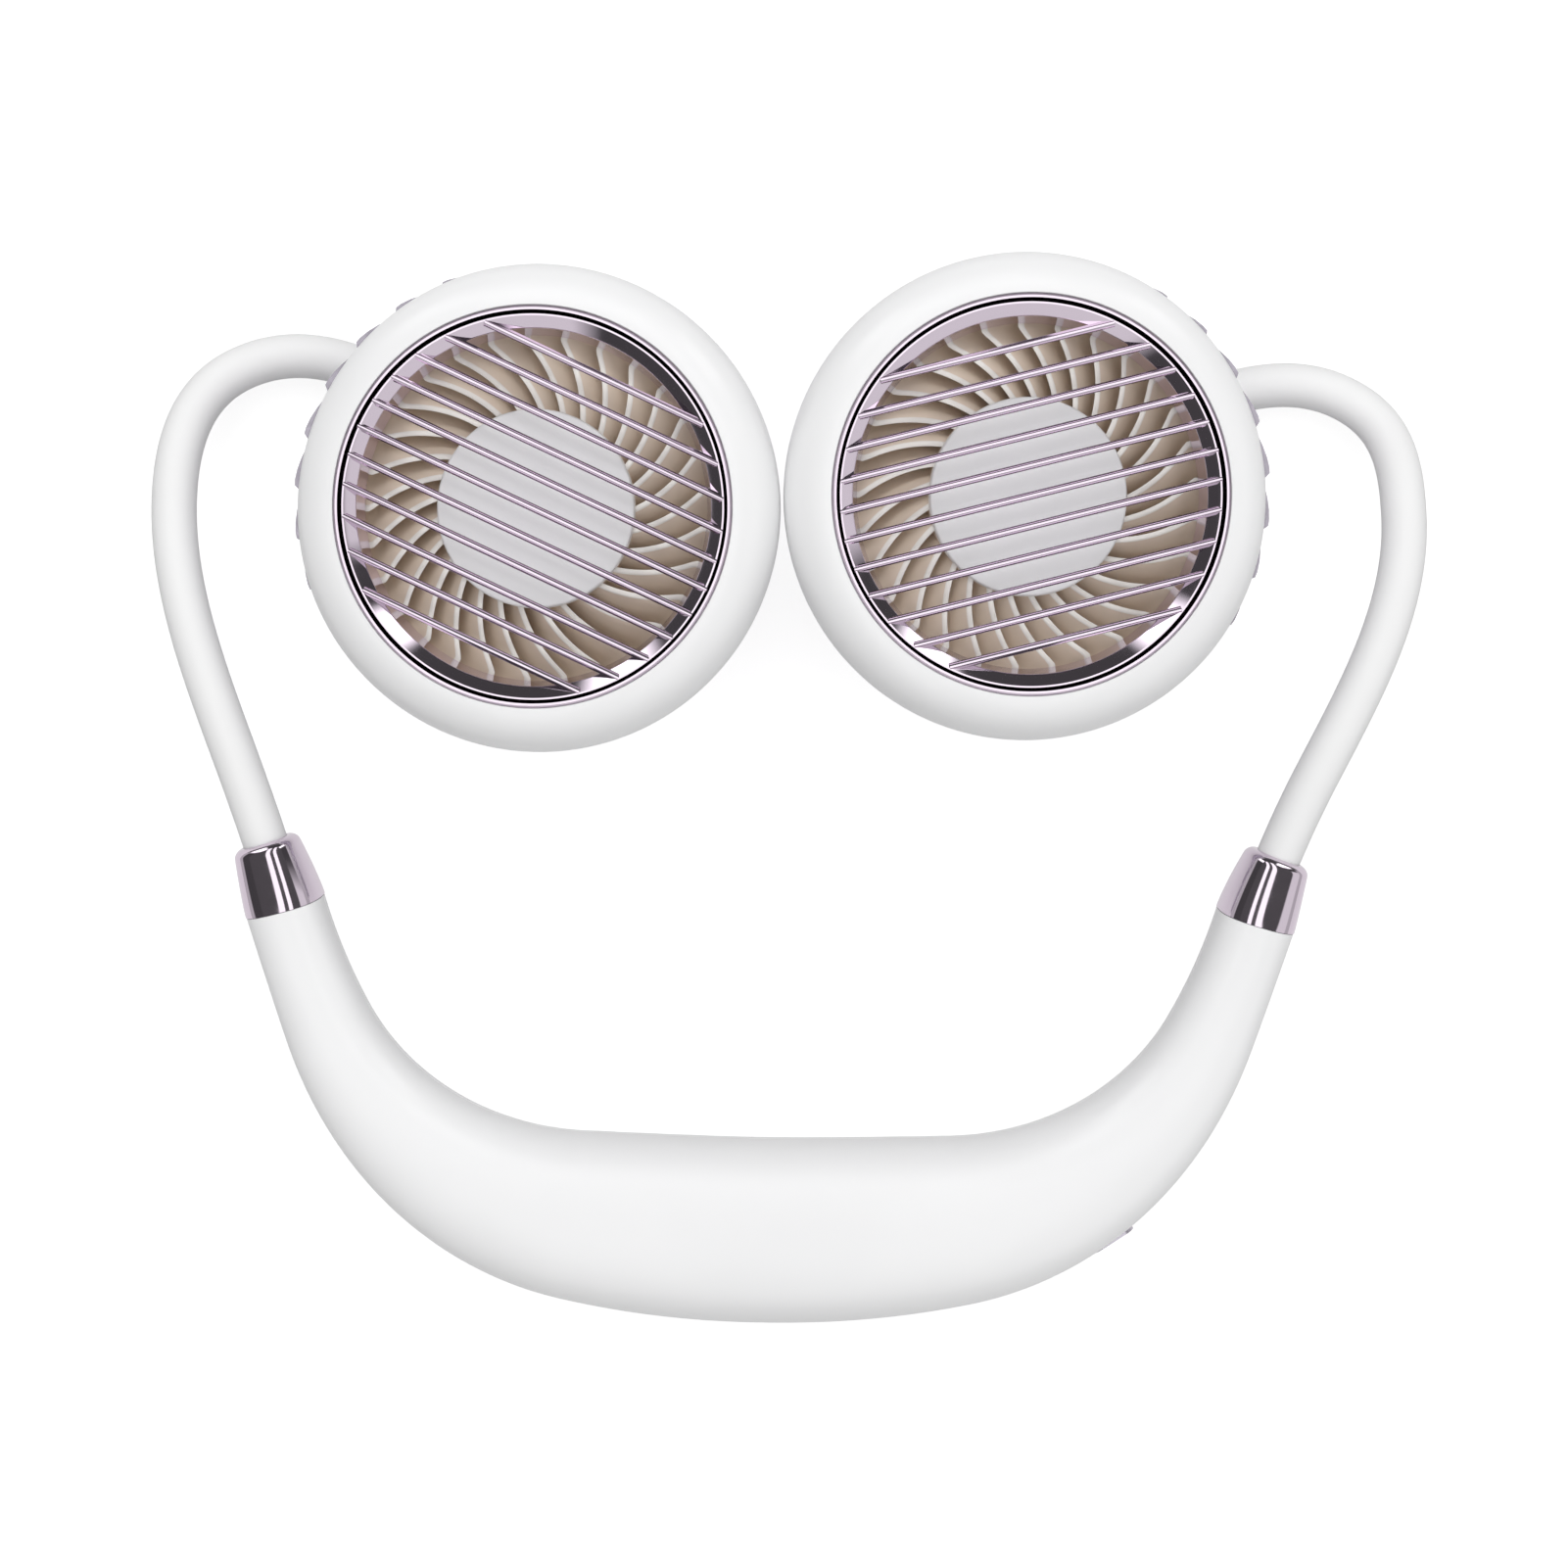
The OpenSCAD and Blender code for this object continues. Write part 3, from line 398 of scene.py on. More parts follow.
class CentreLine:
    """Centre line of the band by the distance from its middle, which is negative on the left."""

    def __init__(self, s):
        self.s = s
        self.curves = [
            (s.nape_radius, s.nape_turn),
            (s.side_radius, s.side_turn),
            (s.end_radius, s.end_turn),
        ]
        self.half = sum(radius * turn for radius, turn in self.curves)

    def stretch(self, d):
        """Start point, heading there, radius and turned angle of the curve at a distance."""
        start, heading = np.zeros(2), 0
        for radius, turn in self.curves[:-1]:
            if d <= radius * turn:
                return start, heading, radius, d / radius
            start = start + arc_step(heading, radius, turn)
            heading += turn
            d -= radius * turn
        return start, heading, self.s.end_radius, d / self.s.end_radius

    def plan(self, d):
        start, heading, radius, turn = self.stretch(abs(d))
        x, y = start + arc_step(heading, radius, turn)
        return (-x if d < 0 else x), y

    def heading(self, d):
        _, heading, _, turn = self.stretch(abs(d))
        return math.copysign(heading + turn, d)

    def rise(self, d):
        return self.s.rise * (abs(d) / self.half) ** self.s.rise_power

    def fade(self, d):
        return (1 - min(abs(d) / self.half, 1) ** self.s.fade_power) ** self.s.fade_bulge

    def size(self, d):
        """Width and height of the section."""
        s, fade = self.s, self.fade(d)
        width = s.end_width + (s.width - s.end_width) * fade
        return width, s.end_height + (s.height - s.end_height) * fade

    def point(self, d):
        x, y = self.plan(d)
        return Vector((x, y, self.s.height / 2 - self.s.foot_flat + self.rise(d)))

    def tangent(self, d):
        step = 0.01 * MM
        slope = (self.rise(d + step) - self.rise(d - step)) / (2 * step)
        heading = self.heading(d)
        return Vector((math.cos(heading), math.sin(heading), slope)).normalized()


def band_place():
    s = band_sizes()
    return Matrix.Translation((s.middle_x, s.middle_y, 0)) @ Matrix.Rotation(s.turn, 4, "Z")


def section_point(point, tangent, x, z):
    """Point of a section that stands across a tangent."""
    side = UP.cross(tangent).normalized()
    return point + x * side + z * tangent.cross(side)


def ring(point, tangent, radius, sides):
    circle = [(radius * math.cos(a), radius * math.sin(a)) for a in round_angles(sides)]
    return [section_point(point, tangent, x, z) for x, z in circle]


def half_outline(width, height, steps, lift):
    """Upper half of the band's section, from a lift above the seam on one side to the other."""
    power = 2 / band_sizes().section_power
    start = math.asin((2 * lift / height) ** (1 / power))
    angles = [start + (math.pi - 2 * start) * i / steps for i in range(steps + 1)]
    return superellipse(width, height, power, angles)


def half_section(width, height):
    """Closed section of one shell: rounded seam edges outside, and the inner wall."""
    s = band_sizes()
    low = s.seam / 2
    r = s.seam_round
    outer = half_outline(width, height, OUTER_STEPS, low + r)
    side = outer[0][0]
    right_edge = arc(side - r, low + r, r, -90, 0, EDGE_STEPS)[:-1]
    left_edge = arc(-side + r, low + r, r, 180, 270, EDGE_STEPS)[1:]
    inner = half_outline(width - 2 * s.wall, height - 2 * s.wall, INNER_STEPS, low)
    return right_edge + outer + left_edge + inner[::-1]


def shell(name, flip, line):
    """One half shell, swept from end to end; flip is -1 for the lower one."""
    rings = []
    for i in range(SHELL_STATIONS + 1):
        d = line.half * (2 * i / SHELL_STATIONS - 1)
        outline = half_section(*line.size(d))
        point, tangent = line.point(d), line.tangent(d)
        rings.append([section_point(point, tangent, flip * x, flip * z) for x, z in outline])
    return piece(name, *moved(skin(rings), band_place()))


def rounded_slot(width, height, depth, steps=12):
    """A prism with round ends, from y 0 inward."""
    reach = (width - height) / 2
    right = arc(reach, 0, height / 2, -90, 90, steps)
    outline = right + arc(-reach, 0, height / 2, 90, 270, steps)
    return skin([[(x, y, z) for x, z in outline] for y in (0, depth)])


def node_middle(name):
    low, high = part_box(name)
    return (low + high) / 2


def wall_cutters():
    """Openings of the wall for the port, the button and the lens, where the frame has them."""
    wall = band_sizes().wall
    way = node_middle("power_button") - node_middle("charging_port")
    heading = math.atan2(way.y, way.x)
    out = Vector((math.sin(heading), -math.cos(heading), 0))
    tools = []
    for node, (width, height, depth) in WALL_OPENINGS.items():
        start = Matrix.Translation(node_middle(node) + CUTTER_START * wall * out)
        slot = rounded_slot(width * MM, height * MM, depth * wall)
        tools.append(piece("Cutter", *moved(slot, start @ Matrix.Rotation(heading, 4, "Z"))))
    return tools


def screw_cutters():
    """Round recesses over the heads of the band's screws, where the frame has them."""
    low = -RECESS_DEPTH
    profile = [(0, low), (RECESS_RADIUS, low), (RECESS_RADIUS, 0), (0, 0)]
    tools = []
    for x, y, z in screw_heads("band_screws"):
        place = Matrix.Translation((x, y, z + RECESS_END))
        tools.append(piece("Cutter", *moved(turned(profile, 40), place)))
    return tools


def screw_heads(node):
    """Lowest middle of each separate solid of a node, in a fixed order."""
    shape = bmesh.new()
    shape.from_mesh(frame["nodes"][node].data)
    bmesh.ops.remove_doubles(shape, verts=shape.verts, dist=MM * 1e-3)
    left = set(shape.verts)
    heads = []
    while left:
        todo = [next(iter(left))]
        found = set()
        while todo:
            vert = todo.pop()
            if vert in found:
                continue
            found.add(vert)
            todo.extend(e.other_vert(vert) for e in vert.link_edges)
        left -= found
        points = np.array([v.co for v in found])
        low, high = points.min(0), points.max(0)
        heads.append(((low[0] + high[0]) / 2, (low[1] + high[1]) / 2, low[2]))
    shape.free()
    return sorted(heads)


def flat_foot(obj):
    """Cuts the belly of the lower shell flat at the table."""
    shape = bmesh.new()
    shape.from_mesh(obj.data)
    everything = shape.verts[:] + shape.edges[:] + shape.faces[:]
    bmesh.ops.bisect_plane(
        shape, geom=everything, plane_co=(0, 0, 0), plane_no=(0, 0, -1), clear_outer=True
    )
    rim = [e for e in shape.edges if e.is_boundary]
    bmesh.ops.holes_fill(shape, edges=rim)
    shape.to_mesh(obj.data)
    shape.free()


# Arms: knots and spans of the centre line

SLEEVE_SIDES, FERRULE_SIDES = 40, 96

# In sleeve diameters: the radius of a head's boss, the depth of its socket and the socket's height
BOSS_RADIUS, SOCKET_DEPTH, SOCKET_HEIGHT = 1.5, 0.8, 0.6

# Gaps of a ferrule to the band and to the sleeve in it
FERRULE_GAP, SLEEVE_GAP = 0.1 * MM, 0.05 * MM

# Share of a ferrule's length before its rounded mouth, and the steps before and along that mouth
FERRULE_BODY, BODY_STEPS, MOUTH_STEPS = 0.9, 30, 10


def toward(sign, heading, slope):
    return Vector((sign * math.cos(heading), math.sin(heading), slope)).normalized()


def joint_point(name):
    return Vector(next(j["pos_m"] for j in frame["joints"] if j["name"] == name))


def head_place(side):
    """Place of a head: its rear boss's middle, with Z out through the grille."""
    h = head_sizes()
    turn = Matrix.Rotation(SIDES[side] * h.lean_out, 4, "Y") @ Matrix.Rotation(h.lean_down, 4, "X")
    origin = joint_point(f"fan_{side}_spin") - h.fan_low * (turn @ UP)
    return Matrix.Translation(origin) @ turn


def arm_knots(side):
    """Points and directions of an arm from the band's end to its tail in the head."""
    a = arm_sizes()
    sign = SIDES[side]
    line = CentreLine(band_sizes())
    place = band_place()
    end = sign * line.half
    lean, turn, tail = (getattr(a, f"{bend}_{side}") for bend in ("lean", "turn", "tail"))
    tail_way = toward(sign, tail, 0)
    socket = head_place(side) @ Vector((0, 0, SOCKET_HEIGHT * a.sleeve))
    tail_end = socket - (BOSS_RADIUS - SOCKET_DEPTH) * a.sleeve * tail_way
    return [
        (place @ line.point(end), place.to_3x3() @ (sign * line.tangent(end))),
        (joint_point(f"arm_{side}_swing"), toward(sign, lean, a.swing_slope)),
        (joint_point(f"arm_{side}_lift"), toward(sign, math.pi / 2, a.lift_slope)),
        (joint_point(f"head_{side}_turn"), toward(sign, turn, a.turn_slope)),
        (tail_end - a.tail * tail_way, tail_way),
        (tail_end, tail_way),
    ]


def span_at(a, b, u):
    """Point and direction between two knots at a share of the way."""
    (p, t), (q, w) = a, b
    cosine = max(-1, min(1, t.dot(w)))
    m = (q - p).length / math.cos(math.acos(cosine) / 4) ** 2
    point = (
        (2 * u**3 - 3 * u**2 + 1) * p
        + (u**3 - 2 * u**2 + u) * m * t
        + (3 * u**2 - 2 * u**3) * q
        + (u**3 - u**2) * m * w
    )
    way = (
        (6 * u**2 - 6 * u) * p
        + (3 * u**2 - 4 * u + 1) * m * t
        + (6 * u - 6 * u**2) * q
        + (3 * u**2 - 2 * u) * m * w
    )
    return point, way.normalized()


def span(a, b, start, end, steps):
    return [span_at(a, b, start + (end - start) * i / steps) for i in range(steps + 1)]


def build_sleeves(side):
    """Three lengths of one soft sleeve, each running over one hinge of the arm."""
    a = arm_sizes()
    end, swing, lift, turn, tail, last = arm_knots(side)
    radius, bore = a.sleeve / 2, a.sleeve / 2 - a.sleeve_wall
    start = a.sleeve_start / (swing[0] - end[0]).length
    lower, upper, head = f"arm_{side}_lower", f"arm_{side}_upper", f"head_{side}"
    root_run = span(end, swing, start, 1, steps=24)
    swing_run, lift_run = (span(swing, lift, *ends, steps=40) for ends in ((0, 0.5), (0.5, 1)))
    turn_run, tip_run = (span(lift, turn, *ends, steps=30) for ends in ((0, 0.5), (0.5, 1)))
    tail_run = span(turn, tail, 0, 1, steps=60)
    runs = [
        ("lower", root_run[:-1] + swing_run, swing, ("band", lower), ("root", "lower")),
        ("middle", lift_run[:-1] + turn_run, lift, (lower, upper), ("lower", "upper")),
        ("upper", tip_run[:-1] + tail_run + [last], turn, (upper, head), ("upper", "tip")),
    ]
    for name, places, (point, way), bodies, parts in runs:
        outer, inner = ([ring(*at, r, SLEEVE_SIDES) for at in places] for r in (radius, bore))
        obj = piece(f"sleeve_{side}_{name}", *closed(outer + inner[::-1]))
        finish(obj, None, [f"arm_{side}_sleeve_{part}" for part in parts], "sleeve_white")
        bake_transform(obj)


def ferrule_size(u, full):
    """Width or height of the ferrule at a share of its length."""
    a = arm_sizes()
    taper = full + (a.ferrule_mouth - full) * u**a.ferrule_taper
    left = max(0, 1 - (1 - u) * a.ferrule / a.ferrule_round)
    return taper - 2 * a.ferrule_round * (1 - math.sqrt(1 - left**2))


def build_ferrule(side):
    """Plated ferrule: a swept rounded section that tapers to a mouth round the sleeve."""
    a, s = arm_sizes(), band_sizes()
    end, swing = arm_knots(side)[:2]
    distance = (swing[0] - end[0]).length
    near, far = FERRULE_GAP / distance, a.ferrule / distance
    shares = [FERRULE_BODY * i / BODY_STEPS for i in range(BODY_STEPS)]
    for i in range(MOUTH_STEPS + 1):
        shares.append(FERRULE_BODY + (1 - FERRULE_BODY) * math.sin(math.pi / 2 * i / MOUTH_STEPS))
    power = 2 / s.section_power
    roll = SIDES[side] * a.ferrule_roll
    c, v = math.cos(roll), math.sin(roll)
    outer, inner = [], []
    for u in shares:
        point, way = span_at(end, swing, near + (far - near) * u)
        width, height = ferrule_size(u, s.end_width), ferrule_size(u, s.end_height)
        flat = superellipse(width, height, power, round_angles(FERRULE_SIDES))
        outer.append([section_point(point, way, x * c - z * v, x * v + z * c) for x, z in flat])
        inner.append(ring(point, way, a.sleeve / 2 + SLEEVE_GAP, FERRULE_SIDES))
    obj = piece(f"ferrule_{side}", *closed(outer + inner[::-1]))
    finish(obj, "band", [f"arm_{side}_ferrule"], "chrome_lilac")


# Heads

BEZEL_TURNS, BEZEL_STEPS, RING_TURNS, HUB_TURNS, BAR_STEPS = 288, 48, 256, 192, 16

# Angles in radians of the points round the bezel's lower edge and over a blade's front edge
JOINT_ANGLES = (0.2, 0.6, 1.0, 1.4)
BLADE_ANGLES = (0, 0.5, 1.05, 1.57, 2.09, 2.64, math.pi)

# Edge radius at the bezel's joint, chamfer round its ring, and gap under the ring
JOINT_ROUND, RIM_CHAMFER, RING_GAP = 0.3 * MM, 0.1 * MM, 0.05 * MM

# Curvature of a bar's crown, and how far its flank's foot draws in, in shares of a half width
CROWN_CURVE, FLANK_FOOT, FLANK_DROP = 0.04, 0.06, 0.1

# How far a blade's root reaches into the hub, and the rounding of the hub's rear edge
ROOT_SINK, REAR_ROUND = 0.8 * MM, 0.3 * MM

# Hub cap: its gap to the hub's edge, its rim's radius as a share of its thickness, and its dish
CAP_GAP, CAP_ROUND, CAP_DISH = 0.05 * MM, 0.45, 0.12 * MM


def bars_turn(side):
    return getattr(head_sizes(), f"bars_{side}")


def head_piece(side, kind, part, slot, body="head", sharp=SHARP):
    """Builds a piece of a head that stands for the frame's node of the same kind."""
    obj = piece(f"{kind}_{side}", *part, head_place(side))
    finish(obj, f"{body}_{side}", [f"head_{side}_{kind}"], slot, sharp)


def bezel_outline(inset, x, steps):
    """Outer or inner line of the bezel, from its front to the slanting joint, at a cosine of x."""
    h = head_sizes()
    radius = h.diameter / 2
    widest = h.depth - h.bezel_round
    base = widest + h.part_front - h.part_slope * radius + h.seam / 2
    line = arc(radius - h.bezel_round, widest, h.bezel_round - inset, 90, 0, steps)
    line.append((radius - h.waist_in - inset, h.heel_height + h.bezel_round / 2))
    line.append((radius - h.heel_in - inset, h.heel_height + inset))
    kept = [line[0]]
    for p, q in zip(line, line[1:]):
        over_p, over_q = (z - base - h.part_slope * x * r for r, z in (p, q))
        if over_q >= 0:
            kept.append(q)
            continue
        t = over_p / (over_p - over_q)
        kept.append((p[0] + (q[0] - p[0]) * t, p[1] + (q[1] - p[1]) * t))
        break
    return even(kept, steps)


def bezel_section(x):
    """Closed section of the bezel on the side at x, with its lower edge rounded."""
    h = head_sizes()
    ring_radius = h.ring / 2
    seat = ring_radius - h.seat
    outer = bezel_outline(0, x, BEZEL_STEPS)
    inner = bezel_outline(h.wall, x, BEZEL_STEPS // 2)
    low = Vector(outer[-1])
    edge = (Vector(inner[-1]) - low).normalized()
    back = (Vector(outer[-2]) - low).normalized()
    r = JOINT_ROUND
    outer = [p for p in outer if (Vector(p) - low).length > r]
    rounding = [
        tuple(low + r * back * (1 - math.sin(t)) + r * edge * (1 - math.cos(t)))
        for t in JOINT_ANGLES
    ]
    recess = h.depth - h.lip / 2 - RING_GAP
    rim = ring_radius + RIM_CHAMFER
    front = [(seat, recess), (rim, recess), (rim, h.depth - RIM_CHAMFER)]
    front.append((rim + RIM_CHAMFER, h.depth))
    start = [p for p in outer if p[0] > rim + RIM_CHAMFER]
    under = [p for p in inner[::-1] if p[0] > seat] + [(seat, h.depth - h.wall)]
    return front + even(start, BEZEL_STEPS) + rounding + even(under, BEZEL_STEPS // 2)


def build_bezel(side):
    """White bezel: a round front that runs down to a slanting joint, deeper on the inner side."""
    rings = []
    for a in round_angles(BEZEL_TURNS):
        section = bezel_section(SIDES[side] * math.cos(a))
        way = a + bars_turn(side)
        rings.append([(r * math.cos(way), r * math.sin(way), z) for r, z in section])
    head_piece(side, "bezel", closed(rings), "shell_white")


def bar(y, reach, top):
    """One bar along X: a narrow, nearly flat crown with a sloping flank on each side."""
    h = head_sizes()
    half = h.bar_width / 2
    flank = half * h.bar_flank
    ridge = half - flank
    crown = [(ridge * x, top - CROWN_CURVE * ridge * x * x) for x in (1, 0.6, 0.2, -0.2, -0.6, -1)]
    shoulder = crown[0][1] - flank * math.tan(h.bar_slope)
    right = [
        (half, top - h.bar_height),
        (half, shoulder - FLANK_DROP * half),
        (half - FLANK_FOOT * half, shoulder),
    ]
    outline = right + crown + [(-x, z) for x, z in right[::-1]]
    stations = [-reach + 2 * reach * i / BAR_STEPS for i in range(BAR_STEPS + 1)]
    return skin([[(x, y + v, z) for v, z in outline] for x in stations])


def ring_profile():
    """Closed profile of the ring: lip, groove, ledge, shallow cone and collar, and its seat."""
    h = head_sizes()
    ring_radius = h.ring / 2
    land = ring_radius - h.lip
    mouth = h.mouth / 2
    top = h.depth
    base = top - h.lip / 2
    foot = top - h.cone
    lip = h.lip - h.groove
    seat = ring_radius - h.seat - RING_GAP
    bend = h.groove / 2
    return (
        [(mouth, foot), (land, foot), (land, base - h.groove_depth)]
        + [(seat, base - h.groove_depth / 2), (seat, base), (ring_radius, base)]
        + [(ring_radius, top - lip / 2 * math.tan(h.lip_slope)), (ring_radius - lip / 2, top)]
        + [(ring_radius - lip, top), (ring_radius - lip, base)]
        + [(land + bend, top - h.groove_depth), (land, base), (land - h.ledge, base)]
        + arc(mouth + h.collar_lean + bend, base - h.cone_drop - bend / 2, bend, 120, 190, 5)
        + [(mouth, foot + h.groove)]
    )


def build_grille(side):
    """Plated grille: a ring with its lip, groove and cone, and the bars, in one piece."""
    h = head_sizes()
    parts = [turned(ring_profile(), RING_TURNS)]
    hold = h.ring / 2 - h.lip + h.groove / 4
    turn = Matrix.Rotation(bars_turn(side), 4, "Z")
    for i in range(h.bar_count):
        y = (i - (h.bar_count - 1) / 2) * h.bar_pitch
        reach = math.sqrt(hold**2 - (abs(y) + h.bar_width / 2) ** 2)
        parts.append(moved(bar(y, reach, h.depth - h.bar_drop), turn))
    head_piece(side, "grille", joined(*parts), "chrome_lilac", sharp=GRILLE_SHARP)


def blade_points(turn, stations=18, steps=7):
    """One swept blade with a slightly rounded front edge, turned round the hub."""
    h = head_sizes()
    hub, tip = h.hub / 2, h.fan / 2
    root = hub - ROOT_SINK
    far = hub + (tip - hub) * h.straight
    half = h.blade / 2
    crown = half * h.blade_crown
    rings = []
    for i in range(stations):
        u = i / (stations - 1)
        r = root + (tip - root) * u
        sweep = h.blade_sweep * (min(r, far) - hub) / (far - hub)
        top = h.blade_root + (h.blade_tip - h.blade_root) * u
        edge = top - crown
        outline = [(half * math.cos(t), edge + crown * math.sin(t)) for t in BLADE_ANGLES]
        levels = [edge + (h.blade_low - edge) * k / steps for k in range(1, steps + 1)]
        outline += [(-half, z) for z in levels] + [(half, z) for z in levels[::-1]]
        points = []
        for y, z in outline:
            lean = -h.blade_lean * (top - z) / (top - h.blade_low)
            a = turn + sweep + lean + y / r
            points.append((r * math.cos(a), r * math.sin(a), z))
        rings.append(points)
    return skin(rings)


def build_rotor(side):
    """Rotor: a cupped hub with swept blades in one moulding."""
    h = head_sizes()
    hub = h.hub / 2
    low, top, under = h.fan_low, h.hub_top, h.hub_top - h.hub_wall
    cup = [(h.bore, top), (h.bore, under), (hub - h.hub_wall, under), (hub - h.hub_wall, low)]
    cup += [(hub - REAR_ROUND, low), (hub, low + REAR_ROUND)]
    cup += [(hub, top - h.hub_round), (hub - h.hub_round, top)]
    parts = [turned(cup, HUB_TURNS)]
    parts += [blade_points(a) for a in round_angles(h.blades)]
    head_piece(side, "rotor", joined(*parts), "blade_cream", "fan", ROTOR_SHARP)


def build_hub_cap(side):
    """White cap on the hub with a rounded rim and a faint dish."""
    h = head_sizes()
    hub = h.hub / 2 - CAP_GAP
    low, top, r = h.hub_top, h.hub_top + h.cap, CAP_ROUND * h.cap
    dish = [(hub * u, top - CAP_DISH * (1 - u) ** 2) for u in (0.75, 0.5, 0.25, 0)]
    profile = [(0, low), (hub, low)] + arc(hub - r, top - r, r, 0, 90, 8) + dish
    head_piece(side, "hub_cap", turned(profile, HUB_TURNS), "hub_white", "fan")


# Materials

# Depth in metres of the grain of moulded surfaces and of the lines of drawn metal
GRAIN_DEPTH, LINE_DEPTH = 0.02 * MM, 0.03 * MM

# Scale of the uneven gloss of a moulded surface
GLOSS_SCALE = 420.0

# Sockets of a Mix node for colours: its two inputs and its output
MIX_LOW, MIX_HIGH, MIX_RESULT = 6, 7, 2

# Heights over a head's boss between which the blades turn from the painted shade of their faces to
# their edge colour
PAINTED_SHADE_TOP, EDGE_LOW = 28.95 * MM, 29.1 * MM


def feed(tree, node, feeds):
    """Feeds a node's inputs from values or other nodes' outputs."""
    for key, value in feeds.items():
        if isinstance(value, bpy.types.NodeSocket):
            tree.links.new(value, node.inputs[key])
        else:
            node.inputs[key].default_value = value


def put(tree, kind, feeds=None, **settings):
    """Adds a shader node, sets it up, feeds its inputs and gives its outputs."""
    node = tree.nodes.new(f"ShaderNode{kind}")
    for key, value in settings.items():
        setattr(node, key, value)
    feed(tree, node, feeds or {})
    return node.outputs


def noise(tree, where, scale, detail):
    feeds = {"Vector": where, "Scale": scale, "Detail": detail}
    return put(tree, "TexNoise", feeds)["Fac"]


def own_place(tree):
    return put(tree, "TexCoord")["Object"]


def new_group(name, inputs, outputs):
    """An empty shader group with named float sockets."""
    group = bpy.data.node_groups.new(name, "ShaderNodeTree")
    for key, value in inputs.items():
        socket = group.interface.new_socket(key, in_out="INPUT", socket_type="NodeSocketFloat")
        socket.default_value = value
    for key in outputs:
        group.interface.new_socket(key, in_out="OUTPUT", socket_type="NodeSocketFloat")
    return group, group.nodes.new("NodeGroupInput").outputs, group.nodes.new("NodeGroupOutput")


def moulded_group(name):
    """Fine grain, slow mottle and uneven gloss of a moulded or plated surface."""
    inputs = {"Grain Scale": 5000, "Mottle Scale": 60, "Gloss Low": 0.3, "Gloss High": 0.4}
    group, given, result = new_group(name, inputs, ["Height", "Mottle", "Roughness"])
    where = own_place(group)
    gloss = {
        "Value": noise(group, where, GLOSS_SCALE, 4.0),
        "From Min": 0.3,
        "From Max": 0.7,
        "To Min": given["Gloss Low"],
        "To Max": given["Gloss High"],
    }
    results = {
        "Height": noise(group, where, given["Grain Scale"], 3.0),
        "Mottle": noise(group, where, given["Mottle Scale"], 2.0),
        "Roughness": put(group, "MapRange", gloss)["Result"],
    }
    feed(group, result, results)
    return group


def drawn_group(name):
    """Fine lines of drawn or turned metal along one axis."""
    inputs = {"Line Scale": 900, "Stretch": 0.04}
    group, given, result = new_group(name, inputs, ["Height", "Shade"])
    scale = put(group, "CombineXYZ", {"X": 1.0, "Y": 1.0, "Z": given["Stretch"]})["Vector"]
    feeds = {0: own_place(group), 1: scale}
    squeezed = put(group, "VectorMath", feeds, operation="MULTIPLY")["Vector"]
    lines = noise(group, squeezed, given["Line Scale"], 5.0)
    feed(group, result, {"Height": lines, "Shade": lines})
    return group


def use_group(tree, name, make, values=None):
    """Outputs of a shader group, which is made at its first use."""
    group = bpy.data.node_groups.get(name) or make(name)
    return put(tree, "Group", values, node_tree=group)


def new_material(name):
    material = bpy.data.materials.new(name)
    material.use_nodes = True
    tree = material.node_tree
    return material, tree, tree.nodes["Principled BSDF"]


def mixed(tree, factor, low, high):
    """Colour between two by a factor."""
    feeds = {"Factor": factor, MIX_LOW: low, MIX_HIGH: high}
    return put(tree, "Mix", feeds, data_type="RGBA")[MIX_RESULT]


def shaded(rgb, amount=1):
    return (*(max(0, min(1, c * amount)) for c in rgb), 1)


def bumped(tree, height, strength, distance):
    feeds = {"Height": height, "Strength": strength, "Distance": distance}
    return put(tree, "Bump", feeds)["Normal"]


def moulded(name, rgb, low, high, grain, depth=0.1, mottle=0.03, constants=None):
    """A moulded or plated finish: mottled colour, uneven gloss and a fine grain."""
    material, tree, surface = new_material(name)
    values = {"Grain Scale": grain, "Gloss Low": low, "Gloss High": high}
    use = use_group(tree, "Moulded surface", moulded_group, values)
    pale, deep = shaded(rgb, 1 + mottle), shaded(rgb, 1 - mottle)
    feeds = {
        "Base Color": mixed(tree, use["Mottle"], deep, pale),
        "Roughness": use["Roughness"],
        "Normal": bumped(tree, use["Height"], depth, GRAIN_DEPTH),
    }
    feed(tree, surface, feeds | (constants or {}))
    return material


def blades(name, rgb, *values):
    """Cream blades whose faces below their front edges get a warmer, deeper colour: painted shade
    of the deep duct.
    """
    material = moulded(name, rgb, *values)
    tree = material.node_tree
    base = tree.nodes["Principled BSDF"].inputs["Base Color"]
    height = put(tree, "SeparateXYZ", {"Vector": own_place(tree)})["Z"]
    fall = {"From Min": PAINTED_SHADE_TOP, "From Max": EDGE_LOW, "To Min": 1.0, "To Max": 0.0}
    depth = put(tree, "MapRange", {"Value": height} | fall)["Result"]
    edge = base.links[0].from_socket
    # Painted shade: the faces below the front edges take a warmer, deeper colour for the shade deep
    # between the blades
    tree.links.new(mixed(tree, depth, edge, shaded(colours().blade_face)), base)
    return material


def drawn(name, rgb, roughness, lines):
    """Drawn metal with fine lines along the piece."""
    material, tree, surface = new_material(name)
    use = use_group(tree, "Drawn metal", drawn_group, {"Line Scale": lines})
    feeds = {
        "Base Color": mixed(tree, use["Shade"], shaded(rgb, 0.8), shaded(rgb, 1.15)),
        "Normal": bumped(tree, use["Height"], 0.3, LINE_DEPTH),
        "Metallic": 1.0,
        "Roughness": roughness,
    }
    feed(tree, surface, feeds)
    return material


